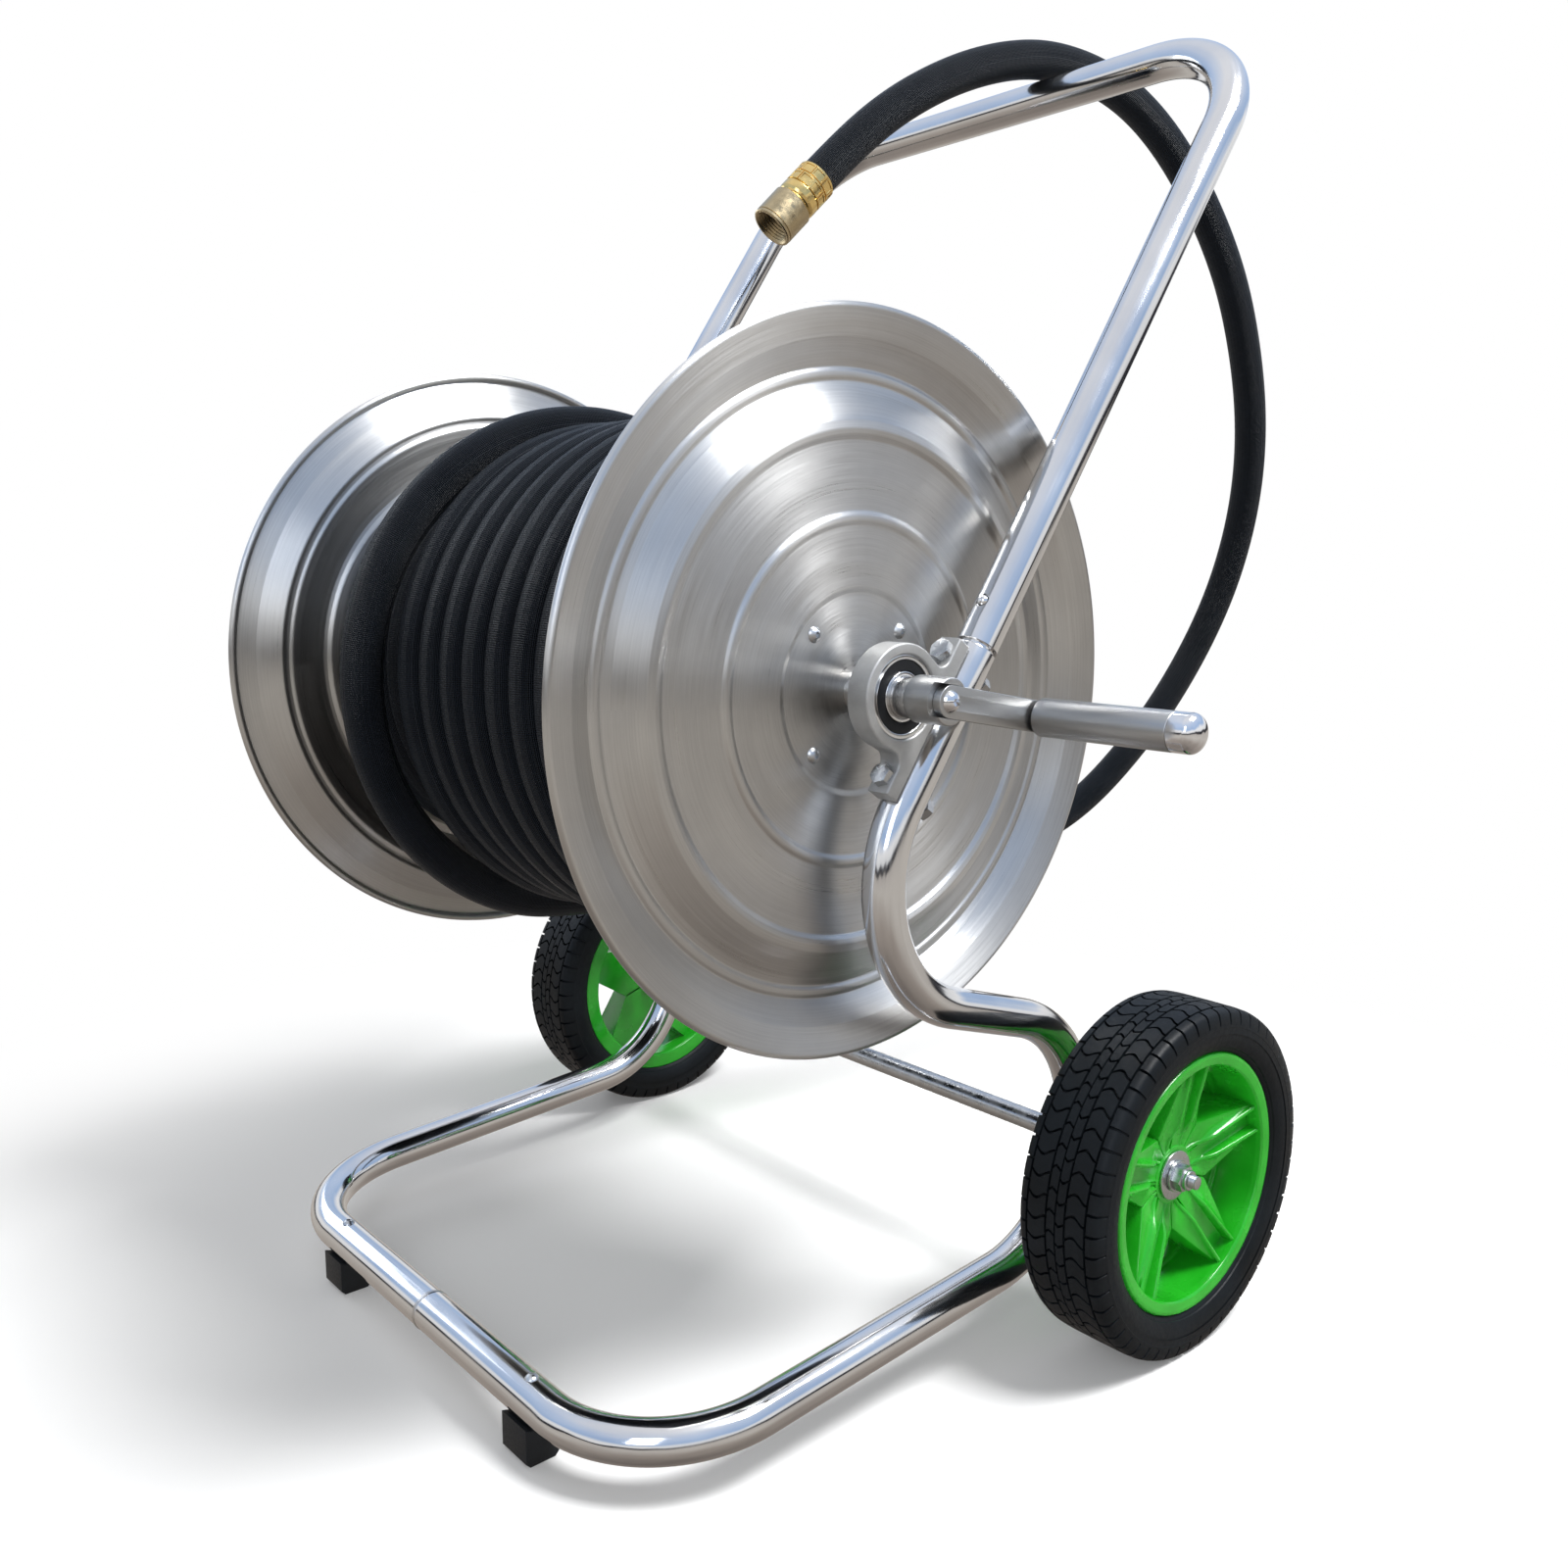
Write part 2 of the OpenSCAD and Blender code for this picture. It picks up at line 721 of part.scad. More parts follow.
module grip_sleeve() {
    color("silver") on_grip(grip_x) difference() {
        cylinder(h = grip_len, r = grip_r);
        translate([0, 0, -1]) cylinder(h = grip_len, r = spindle_r + 0.06);
        translate([0, 0, spindle_end - grip_x - touch_gap]) cylinder(h = grip_len, r = spindle_head_r + 0.5);
    }
}

module grip_cap() {
    plug_h = 4;
    color("gainsboro") on_grip(grip_x + grip_len) {
        cylinder(h = cap_len, r = grip_r);
        translate([0, 0, -plug_h]) cylinder(h = plug_h, r = spindle_head_r + 0.45);
        translate([0, 0, cap_len]) rotate_extrude() intersection() {
            translate([0, cap_dome_h - grip_r * 1.05]) circle(r = grip_r * 1.05);
            square([grip_r, cap_dome_h]);
        }
    }
}

// ---- Water inlet ----

module inlet_seal() {
    color("#101010") on_shaft(swivel_x - 6.5) torus(inlet_spigot_r - 1, 0.9);
}

module inlet_swivel() {
    hex_x = swivel_x - swivel_len - swivel_hex_h;
    color("goldenrod") difference() {
        union() {
            on_shaft(swivel_x - swivel_len) cylinder(h = swivel_len, r = swivel_r);
            on_shaft(hex_x) hexagon(swivel_hex_af, swivel_hex_h);
            on_shaft(inlet_end) cylinder(h = hex_x - inlet_end, r = inlet_thread_r);
        }
        on_shaft(swivel_x - inlet_spigot_len) cylinder(h = swivel_len, r = inlet_spigot_r + slide_gap);
        on_shaft(inlet_end - 1) cylinder(h = -inlet_end, r = water_r + 2);
        on_shaft(clip_x - touch_gap) cylinder(h = clip_w + 2 * touch_gap, r = inlet_spigot_r + 1.2);
    }
}

module swivel_clip() {
    color("dimgray") on_shaft(clip_x) ring(inlet_spigot_r + 1, inlet_spigot_r - 1.4, clip_w);
}

// ---- Wheels ----

module axle() {
    color("gainsboro") {
        on_axle(-axle_turned_x) cylinder(h = 2 * axle_turned_x, r = axle_r);
        on_axle(-axle_end) cylinder(h = 2 * axle_end, r = axle_stud_r);
    }
}

// Weld beads above and below the axle where it crosses a rear bend
module axle_welds() {
    bead_r = 2.6;
    bead_off = 9.3;
    aim = ([axle_y, wheel_r] - rear_c) / axle_reach;
    bead_at = rear_c + (bend_r + tube_r + bead_r + touch_gap) * aim;
    tangent = atan2(aim[1], aim[0]) + 90;
    color("gainsboro") both_sides() side_plane(side_x) for (side = [-1, 1])
        translate([bead_at[0], bead_at[1], 0]) rotate([0, 0, tangent])
            translate([side * bead_off, 0, 0]) sphere(r = bead_r);
}

module wheel_spacers() {
    from_x = side_x + tube_r + 2;
    color("darkgray") both_sides() on_axle(from_x) ring(axle_r + 3, axle_r + touch_gap, rim_x - from_x);
}

module wheel_washers() {
    washer_t = 1.8;
    color("lightgray") both_sides() {
        on_axle(rim_x + touch_gap) ring(18, axle_r + touch_gap, washer_t);
        on_axle(hub_out_x + 0.3) ring(18, axle_r + touch_gap, washer_t);
    }
}

module axle_washers() {
    color("lightgray") both_sides() on_axle(axle_turned_x + touch_gap) ring(11.5, axle_stud_r + touch_gap, 2);
}

// Locking nuts, each a hexagon with a round crown
module axle_nuts() {
    nut_x = axle_turned_x + 2 + 2 * touch_gap;
    color("lightgray") both_sides() {
        on_axle(nut_x) difference() {
            union() {
                hexagon(17, nut_h);
                cylinder(h = nut_h + 3.5, r = 7.4);
            }
            translate([0, 0, -1]) cylinder(h = 2 * nut_h, r = axle_stud_r + slide_gap);
        }
    }
}

module tyre() {
    seat_r = rim_r + touch_gap;
    half_w = tyre_w / 2;
    half = [
        [seat_r, half_w - 6.5], [97, half_w - 4], [104, half_w - 1.5], [112, half_w], [119, half_w - 0.5],
        [wheel_r - 2, half_w - 4.5], [wheel_r, half_w - 9]
    ];
    last = len(half) - 1;
    color("#1a1a1a") on_axle(tyre_mid) rotate_extrude() polygon([
        for (p = half) p,
        for (i = [last:-1:0]) [half[i][0], -half[i][1]]
    ]);
}

module spoke() {
    inner_w = 20;
    outer_w = 44;
    reach = rim_bore + 0.5;
    rib_from = [wheel_hub_r - 3, inner_w / 2];
    rib_to = [reach, outer_w / 2];
    translate([0, 0, spoke_x]) {
        linear_extrude(spoke_t) polygon([
            [rib_from[0], -rib_from[1]], [rib_to[0] - 2, -rib_to[1]], [rib_to[0] - 2, rib_to[1]], rib_from
        ]);
        linear_extrude(rib_h) for (side = [-1, 1]) polygon([
            [rib_from[0], side * rib_from[1]], [rib_to[0] - 2, side * rib_to[1]],
            [rib_to[0] - 2, side * (rib_to[1] - rib_t)], [rib_from[0], side * (rib_from[1] - rib_t)]
        ]);
    }
}

module rim() {
    color("limegreen") difference() {
        union() {
            on_axle(rim_x) ring(rim_r, rim_bore, rim_w);
            on_axle(hub_in_x) cylinder(h = hub_out_x - hub_in_x, r = wheel_hub_r);
            on_axle(0) for (i = [0:spoke_count - 1]) rotate([0, 0, 360 * i / spoke_count]) spoke();
        }
        on_axle(hub_in_x - 1) cylinder(h = hub_out_x - hub_in_x + 2, r = bush_r + slide_gap);
    }
}

module wheel_bushes() {
    color("#303030") for (x = [hub_in_x, hub_out_x - bush_len])
        on_axle(x) ring(bush_r, axle_r + 0.06, bush_len);
}

module tyre_right() { tyre(); }

module tyre_left() { mirrored() tyre(); }

module rim_right() { rim(); }

module rim_left() { mirrored() rim(); }

module wheel_bushes_right() { wheel_bushes(); }

module wheel_bushes_left() { mirrored() wheel_bushes(); }

// ---- Hose ----

function unit(v) = v / norm(v);

// Last part of a turn on the reel, then the free route
function wrap_point(a) =
    let (t = a / wrap_sweep, at = wrap_from + t * (wrap_to - wrap_from))
    [at[0], at[1] * cos(a), shaft_z + at[1] * sin(a)];
hose_line = concat([for (a = [0:wrap_step:wrap_sweep - wrap_step]) wrap_point(a)], hose_route);

fit_dir = [sin(fit_tilt) * cos(fit_turn), sin(fit_tilt) * sin(fit_turn), cos(fit_tilt)];

// The hose's end is square to its fitting
function hose_way(i) =
    i == len(hose_line) - 1 ? fit_dir : unit(hose_line[i + 1] - hose_line[max(i - 1, 0)]);

// Directions across the hose, each turned as little as possible from the one before it
function turned(side, way) = unit(side - (side * way) * way);
hose_across = [
    for (i = 0, side = turned([1, 0, 0], hose_way(0));
        i < len(hose_line);
        i = i + 1, side = turned(side, hose_way(min(i, len(hose_line) - 1)))) side
];

module hose_free() {
    rings = len(hose_line);
    points = [
        for (i = [0:rings - 1], k = [0:hose_sides - 1])
            let (a = 360 * k / hose_sides, up = cross(hose_way(i), hose_across[i]))
            hose_line[i] + hose_d / 2 * (cos(a) * hose_across[i] + sin(a) * up)
    ];
    walls = [
        for (i = [0:rings - 2], k = [0:hose_sides - 1])
            let (a = i * hose_sides, n = (k + 1) % hose_sides)
            [a + n, a + k, a + k + hose_sides, a + n + hose_sides]
    ];
    first = [for (k = [0:hose_sides - 1]) k];
    final = [for (k = [hose_sides - 1:-1:0]) (rings - 1) * hose_sides + k];
    color("#16181b") polyhedron(points = points, faces = concat(walls, [first], [final]));
}

module ferrule() {
    color("gold") on_fitting(slide_gap) ring(ferrule_r, tail_r + slide_gap, ferrule_len);
}

module hose_tail() {
    collar_from = coupling_from + coupling_wall + slide_gap;
    color("goldenrod") difference() {
        union() {
            on_fitting(touch_gap) cylinder(h = collar_from, r = tail_r);
            on_fitting(collar_from) cylinder(h = 3, r = coupling_bore - 0.8);
        }
        on_fitting(0) cylinder(h = coupling_to, r = tail_bore);
    }
}

module hose_washer() {
    from = coupling_from + coupling_wall + 3 + touch_gap;
    color("#101010") on_fitting(from) ring(coupling_bore - 0.5, tail_bore, 2.5);
}

module coupling_nut() {
    len_all = coupling_to - coupling_from;
    color("darkgoldenrod") on_fitting(coupling_from) difference() {
        union() {
            cylinder(h = len_all, r = coupling_r);
            intersection() {
                translate([-lug_r, -4.5, 1]) cube([2 * lug_r, 9, 10]);
                cylinder(h = len_all, r = lug_r);
            }
        }
        translate([0, 0, -1]) cylinder(h = len_all, r = tail_r + 0.1);
        translate([0, 0, coupling_wall]) cylinder(h = coupling_relief, r = coupling_bore + 0.6);
        translate([0, 0, coupling_wall]) cylinder(h = len_all, r = coupling_bore);
    }
}

// ---- Nodes ----

place() frame_tube_right();
place() frame_tube_left();
place() centre_weld();
place() handle_tube();
place() axle();
place() axle_welds();
place() wheel_spacers();
place() foot_right();
place() foot_left();
place() foot_screws();
place() bearing_housing_right();
place() bearing_housing_left();
place() bearing_outer_rings();
place() bearing_seals();
place() housing_bolts();
place() housing_nuts();
place() wheel_washers();
place() axle_washers();
place() axle_nuts();
place() button_spring_right();
place() button_spring_left();
place() snap_button_right();
place() snap_button_left();
place() shaft();
place() shaft_circlips();
place() bearing_inner_rings();
place() bearing_balls();
place() flange_right();
place() flange_left();
place() drum_core();
place() hub_plate_right();
place() hub_plate_left();
place() hub_screws();
place() flange_screws();
place() outlet_pipe();
place() hose_winding();
place() crank_hub();
place() crank_key();
place() crank_arm();
place() crank_screw();
place() grip_spindle();
place() grip_washer();
place() grip_sleeve();
place() grip_cap();
place() inlet_seal();
place() inlet_swivel();
place() swivel_clip();
place() tyre_right();
place() tyre_left();
place() rim_right();
place() rim_left();
place() wheel_bushes_right();
place() wheel_bushes_left();
place() hose_free();
place() ferrule();
place() hose_tail();
place() hose_washer();
place() coupling_nut();
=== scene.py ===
"""Looks of the garden hose reel cart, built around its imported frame. Metres, in the row frame."""
import json
import math

import bmesh
import bpy
import numpy as np
from mathutils import Matrix, Vector


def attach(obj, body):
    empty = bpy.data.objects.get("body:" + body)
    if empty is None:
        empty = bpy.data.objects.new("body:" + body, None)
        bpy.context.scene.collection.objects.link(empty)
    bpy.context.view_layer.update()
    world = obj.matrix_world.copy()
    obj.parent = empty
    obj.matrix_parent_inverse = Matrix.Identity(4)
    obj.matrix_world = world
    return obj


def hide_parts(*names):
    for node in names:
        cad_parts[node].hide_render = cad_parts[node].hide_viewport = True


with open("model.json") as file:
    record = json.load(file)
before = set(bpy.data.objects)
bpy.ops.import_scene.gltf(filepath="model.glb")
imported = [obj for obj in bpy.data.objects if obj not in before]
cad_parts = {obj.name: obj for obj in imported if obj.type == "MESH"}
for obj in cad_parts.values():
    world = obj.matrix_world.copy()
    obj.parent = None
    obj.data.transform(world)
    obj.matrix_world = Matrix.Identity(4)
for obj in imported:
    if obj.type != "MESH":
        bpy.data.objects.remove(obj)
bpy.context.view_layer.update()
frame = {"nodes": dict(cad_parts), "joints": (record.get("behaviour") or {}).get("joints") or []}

JOINTS = {j["name"]: j for j in frame["joints"]}
REEL_AT = Vector(JOINTS["reel_spin"]["pos_m"])
WHEEL_AT = Vector(JOINTS["wheel_right_spin"]["pos_m"])
GRIP_AT = Vector(JOINTS["grip_spin"]["pos_m"])
FIT_DIR = Vector(JOINTS["coupling_turn"]["axis"])
X, Y, Z = Vector((1, 0, 0)), Vector((0, 1, 0)), Vector((0, 0, 1))
RIGHT, LEFT = 1, -1


def at(x, y, z):
    """A point measured from the middle of the shaft (x and y) and from the ground (z)."""
    return Vector((REEL_AT.x + x, REEL_AT.y + y, z))


# ---------------------------------------------------------------- sizes, as in the CAD part

TUBE_R = 0.014
BEND_R = 0.095
SIDE_X = 0.250
CORNER_X = SIDE_X - BEND_R
BAR_Y, BAR_Z = -0.199, 0.036
RAIL_LEN = 0.311
RAIL_RISE = math.radians(4.1)
REAR_END = math.radians(72.7)
LEAN = math.radians(34.5)
HANDLE_LEN = 0.599
SHAFT_Z = REEL_AT.z
SHAFT_STAND = 0.046
SHOULDER_S, SLEEVE_S, SPIGOT_S = 0.0615, 0.064, 0.132
BUTTON_S = 0.0916
BOLT_S = 0.045
FOOT_X, FOOT_H = 0.136, 0.022
FLANGE_X = 0.217
HOSE_D = 0.030
CRANK_DROP = math.radians(10)
CRANK_R = 0.085
WHEEL_R = 0.127

# Route of the free hose after its last turn on the reel, measured as at() does
HOSE_ROUTE = [
    (-0.110, 0.000, 0.284), (-0.111, 0.068, 0.277), (-0.110, 0.137, 0.271), (-0.107, 0.205, 0.266),
    (-0.104, 0.273, 0.261), (-0.098, 0.341, 0.257), (-0.092, 0.410, 0.255), (-0.083, 0.478, 0.260),
    (-0.073, 0.544, 0.274), (-0.061, 0.606, 0.301), (-0.047, 0.658, 0.343), (-0.028, 0.697, 0.396),
    (-0.006, 0.722, 0.456), (0.018, 0.731, 0.519), (0.040, 0.727, 0.584), (0.059, 0.710, 0.648),
    (0.072, 0.685, 0.710), (0.079, 0.654, 0.771), (0.082, 0.617, 0.828), (0.079, 0.573, 0.882),
    (0.073, 0.523, 0.928), (0.063, 0.465, 0.962), (0.049, 0.399, 0.976), (0.043, 0.371, 0.975),
    (0.034, 0.333, 0.967), (0.019, 0.272, 0.941), (0.006, 0.216, 0.903), (-0.008, 0.168, 0.856),
]
WRAP_FROM, WRAP_TO = (-0.060, 0.1755), (-0.110, 0.194)
WRAP_SWEEP, WRAP_STEP = 270, 15


# ---------------------------------------------------------------- materials

def new_material(name, color, rough, metallic=0.0, **sockets):
    """A Principled material. Values that are the same all over are set on its own sockets."""
    m = bpy.data.materials.new(name)
    m.use_nodes = True
    bsdf = m.node_tree.nodes["Principled BSDF"]
    bsdf.inputs["Base Color"].default_value = (*color, 1)
    bsdf.inputs["Roughness"].default_value = rough
    bsdf.inputs["Metallic"].default_value = metallic
    for label, value in sockets.items():
        bsdf.inputs[label.replace("_", " ")].default_value = value
    return m


def node(m, kind, inputs=None, **props):
    """A node with its inputs linked to sockets or set to values."""
    n = m.node_tree.nodes.new("ShaderNode" + kind)
    for key, value in props.items():
        setattr(n, key, value)
    for key, value in (inputs or {}).items():
        if isinstance(value, bpy.types.NodeSocket):
            m.node_tree.links.new(value, n.inputs[key])
        else:
            n.inputs[key].default_value = value
    return n


def surface(m):
    return m.node_tree.nodes["Principled BSDF"]


def link(m, out, label):
    m.node_tree.links.new(out, surface(m).inputs[label])


def coords(m, kind="Object", scale=(1, 1, 1)):
    """Texture coordinates, stretched by scale."""
    out = node(m, "TexCoord").outputs[kind]
    return node(m, "Mapping", {"Vector": out, "Scale": scale}).outputs["Vector"]


def noise(m, vector, scale, detail=3.0, rough=0.5):
    n = node(m, "TexNoise", {"Vector": vector, "Scale": scale, "Detail": detail, "Roughness": rough})
    return n.outputs["Fac"]


def remap(m, value, low, high, from_low=0.3, from_high=0.7):
    n = node(m, "MapRange", {"Value": value, "From Min": from_low, "From Max": from_high,
                             "To Min": low, "To Max": high})
    return n.outputs["Result"]


def math_node(m, operation, a, b=0.0):
    n = node(m, "Math", {0: a, 1: b}, operation=operation)
    return n.outputs["Value"]


def vary_color(m, value, dark, light):
    mix = node(m, "Mix", {"Factor": value, "A": (*dark, 1), "B": (*light, 1)}, data_type="RGBA")
    link(m, mix.outputs[2], "Base Color")


def bumps(m, *layers):
    """Bump layers, each (height socket, strength, distance), chained into the surface's normal."""
    normal = None
    for height, strength, distance in layers:
        inputs = {"Height": height, "Strength": strength, "Distance": distance}
        if normal is not None:
            inputs["Normal"] = normal
        normal = node(m, "Bump", inputs).outputs["Normal"]
    link(m, normal, "Normal")


def polished_tube():
    m = new_material("polished_tube", (0.80, 0.80, 0.80), 0.10, 1.0)
    haze = noise(m, coords(m), 14.0, 5.0)
    smear = noise(m, coords(m, "UV", (60, 3, 1)), 6.0, 4.0)
    link(m, remap(m, math_node(m, "ADD", haze, smear), 0.06, 0.18, 0.75, 1.25), "Roughness")
    vary_color(m, remap(m, haze, 0.0, 1.0), (0.68, 0.68, 0.69), (0.79, 0.785, 0.78))
    fine = noise(m, coords(m, "UV", (900, 12, 1)), 1.0, 2.0)
    bumps(m, (fine, 0.03, 0.0003))
    return m


def brushed_sheet():
    """Spun stainless sheet, brushed in circles around the reel's axis."""
    m = new_material("brushed_sheet", (0.66, 0.65, 0.63), 0.34, 1.0,
                     Anisotropic=0.86, Anisotropic_Rotation=0.25)
    tangent = node(m, "Tangent", direction_type="RADIAL", axis="X")
    link(m, tangent.outputs["Tangent"], "Tangent")
    place = node(m, "TexCoord").outputs["Object"]
    parts = node(m, "SeparateXYZ", {"Vector": place})
    y, z = parts.outputs["Y"], parts.outputs["Z"]
    radius = math_node(m, "SQRT", math_node(m, "ADD", math_node(m, "MULTIPLY", y, y),
                                            math_node(m, "MULTIPLY", z, z)))
    angle = math_node(m, "ARCTAN2", z, y)
    rings = node(m, "CombineXYZ", {"X": math_node(m, "MULTIPLY", radius, 900.0),
                                   "Y": math_node(m, "MULTIPLY", angle, 1.6)})
    scratch = noise(m, rings.outputs["Vector"], 1.0, 6.0, 0.75)
    broad = node(m, "CombineXYZ", {"X": math_node(m, "MULTIPLY", radius, 60.0),
                                   "Y": math_node(m, "MULTIPLY", angle, 0.7)})
    bands = noise(m, broad.outputs["Vector"], 1.0, 3.0)
    stain = noise(m, place, 9.0, 5.0, 0.6)
    link(m, remap(m, math_node(m, "ADD", bands, scratch), 0.27, 0.42, 0.75, 1.3), "Roughness")
    tone = math_node(m, "ADD", math_node(m, "MULTIPLY", scratch, 0.6), math_node(m, "MULTIPLY", stain, 0.4))
    vary_color(m, remap(m, tone, 0.0, 1.0, 0.35, 0.65), (0.50, 0.495, 0.485), (0.66, 0.655, 0.64))
    bumps(m, (scratch, 0.10, 0.0006))
    return m


def metal(name, color, rough, scale=40.0, grain=(1, 1, 1), depth=0.05, **sockets):
    """Plain metal with uneven roughness, a little colour change and fine grain along one direction."""
    m = new_material(name, color, rough, 1.0, **sockets)
    patch = noise(m, coords(m), scale, 4.0)
    line = noise(m, coords(m, "Object", grain), 300.0, 3.0)
    link(m, remap(m, math_node(m, "ADD", patch, line), rough * 0.7, rough * 1.35, 0.75, 1.25), "Roughness")
    vary_color(m, remap(m, patch, 0.0, 1.0), [c * 0.88 for c in color], [min(1, c * 1.06) for c in color])
    bumps(m, (line, depth, 0.0005))
    return m


def satin_bar():
    """Ground bar stock: fine lines along each piece's own Z."""
    m = new_material("satin_bar", (0.46, 0.46, 0.455), 0.36, 1.0)
    lines = noise(m, coords(m, "Object", (1, 1, 0.015)), 1500.0, 3.0)
    cloud = noise(m, coords(m, "Object", (1, 1, 0.3)), 40.0, 2.0)
    link(m, remap(m, lines, 0.30, 0.42), "Roughness")
    vary_color(m, remap(m, cloud, 0.0, 1.0), (0.42, 0.42, 0.415), (0.50, 0.50, 0.495))
    bumps(m, (lines, 0.06, 0.0002))
    return m


def cast_housing():
    m = new_material("cast_housing", (0.40, 0.40, 0.395), 0.48, 0.7)
    grain = noise(m, coords(m), 900.0, 4.0, 0.7)
    patch = noise(m, coords(m), 60.0, 4.0)
    link(m, remap(m, grain, 0.42, 0.60), "Roughness")
    vary_color(m, remap(m, patch, 0.0, 1.0), (0.34, 0.34, 0.335), (0.44, 0.44, 0.435))
    bumps(m, (grain, 0.25, 0.0004), (patch, 0.1, 0.001))
    return m


def rubber(name, color, rough, scale=400.0, depth=0.2):
    m = new_material(name, color, rough, 0.0, Specular_IOR_Level=0.20)
    grain = noise(m, coords(m), scale, 4.0, 0.6)
    patch = noise(m, coords(m), 22.0, 4.0)
    link(m, remap(m, math_node(m, "ADD", patch, grain), rough * 0.85, rough * 1.2, 0.75, 1.25), "Roughness")
    vary_color(m, remap(m, patch, 0.0, 1.0), [c * 0.6 for c in color], [c * 1.25 for c in color])
    bumps(m, (grain, depth, 0.0005))
    return m


def hose_rubber():
    """Black hose with the print of its cloth wrap. UV is around and along the hose, in metres."""
    m = new_material("hose_rubber", (0.008, 0.010, 0.014), 0.40, 0.0, Specular_IOR_Level=0.20)
    parts = node(m, "SeparateXYZ", {"Vector": node(m, "TexCoord").outputs["UV"]})
    around, along = parts.outputs["X"], parts.outputs["Y"]
    turn = 2 * math.pi / 0.0026
    rise = math_node(m, "MULTIPLY", math_node(m, "ADD", along, math_node(m, "MULTIPLY", around, 1.15)), turn)
    fall = math_node(m, "MULTIPLY", math_node(m, "SUBTRACT", along, math_node(m, "MULTIPLY", around, 1.15)), turn)
    cloth = math_node(m, "MULTIPLY", math_node(m, "SINE", rise), math_node(m, "SINE", fall))
    lines = math_node(m, "SINE", math_node(m, "MULTIPLY", around, 2 * math.pi / 0.0157))
    ridge = remap(m, lines, 0.0, 1.0, 0.93, 1.0)
    patch = noise(m, coords(m), 30.0, 4.0)
    print_mark = math_node(m, "ADD", math_node(m, "MULTIPLY", cloth, 0.45), patch)
    link(m, remap(m, print_mark, 0.32, 0.50), "Roughness")
    vary_color(m, remap(m, print_mark, 0.0, 1.0), (0.001, 0.003, 0.006), (0.006, 0.009, 0.014))
    bumps(m, (cloth, 1.0, 0.0007), (ridge, 0.6, 0.0005))
    return m


def green_plastic():
    m = new_material("green_plastic", (0.018, 0.56, 0.022), 0.24, 0.0, Subsurface_Weight=0.06,
                     Subsurface_Radius=(0.002, 0.008, 0.002), Coat_Weight=0.15)
    patch = noise(m, coords(m), 26.0, 4.0)
    peel = noise(m, coords(m), 340.0, 3.0)
    link(m, remap(m, patch, 0.17, 0.31), "Roughness")
    vary_color(m, remap(m, patch, 0.0, 1.0), (0.008, 0.28, 0.008), (0.016, 0.38, 0.016))
    bumps(m, (peel, 0.05, 0.0005), (patch, 0.04, 0.002))
    return m


MATS = {
    "polished_tube": polished_tube(),
    "brushed_sheet": brushed_sheet(),
    "weld_steel": metal("weld_steel", (0.60, 0.585, 0.57), 0.32, 120.0, (1, 1, 1), 0.4),
    "zinc_steel": metal("zinc_steel", (0.56, 0.57, 0.58), 0.30, 90.0, (1, 1, 1), 0.12),
    "foot_rubber": rubber("foot_rubber", (0.014, 0.016, 0.019), 0.48, 500.0, 0.25),
    "cast_housing": cast_housing(),
    "bearing_steel": metal("bearing_steel", (0.76, 0.77, 0.78), 0.14, 60.0, (0.1, 1, 1), 0.05),
    "seal_rubber": rubber("seal_rubber", (0.012, 0.013, 0.015), 0.36, 700.0, 0.1),
    "spring_steel": metal("spring_steel", (0.25, 0.25, 0.27), 0.35),
    "button_chrome": metal("button_chrome", (0.84, 0.84, 0.85), 0.10, 50.0, (1, 1, 1), 0.03),
    "shaft_steel": metal("shaft_steel", (0.55, 0.54, 0.53), 0.27, 50.0, (8, 0.3, 0.3), 0.15),
    "hub_steel": metal("hub_steel", (0.45, 0.45, 0.46), 0.38, 50.0, (1, 1, 1), 0.15),
    "satin_bar": satin_bar(),
    "hose_rubber": hose_rubber(),
    "bright_brass": metal("bright_brass", (0.86, 0.62, 0.24), 0.20, 120.0, (1, 1, 1), 0.08),
    "dull_brass": metal("dull_brass", (0.50, 0.40, 0.24), 0.34, 160.0, (1, 1, 1), 0.15),
    "black_plastic": rubber("black_plastic", (0.020, 0.020, 0.021), 0.42, 600.0, 0.1),
    "tyre_rubber": rubber("tyre_rubber", (0.004, 0.006, 0.008), 0.50, 260.0, 0.3),
    "green_plastic": green_plastic(),
}


# ---------------------------------------------------------------- mesh tools

def finish_piece(obj, slot, body, *nodes, sharp=35):
    """Shades a piece, gives it its material and slot, and puts it on its body in place of CAD nodes."""
    if obj.type == "MESH":
        obj.data.polygons.foreach_set("use_smooth", [True] * len(obj.data.polygons))
        obj.data.set_sharp_from_angle(angle=math.radians(sharp))
    obj.data.materials.clear()
    obj.data.materials.append(MATS[slot])
    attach(obj, body)
    if nodes:
        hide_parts(*nodes)
    return obj


def new_object(name, mesh, matrix=None):
    obj = bpy.data.objects.new(name, mesh)
    bpy.context.scene.collection.objects.link(obj)
    if matrix is not None:
        obj.matrix_world = matrix
    return obj


def mesh_from(name, points, faces):
    mesh = bpy.data.meshes.new(name)
    mesh.from_pydata([tuple(p) for p in points], [], [tuple(f) for f in faces])
    mesh.validate()
    return mesh


def basis(origin, z_axis, x_axis=None):
    """Matrix with its Z along z_axis and its X as near x_axis as it can be."""
    z = Vector(z_axis).normalized()
    guess = Vector(x_axis) if x_axis is not None else (Y if abs(z.dot(Y)) < 0.9 else X)
    x = (guess - z * guess.dot(z)).normalized()
    y = z.cross(x)
    m = Matrix((x, y, z)).transposed().to_4x4()
    m.translation = origin
    return m


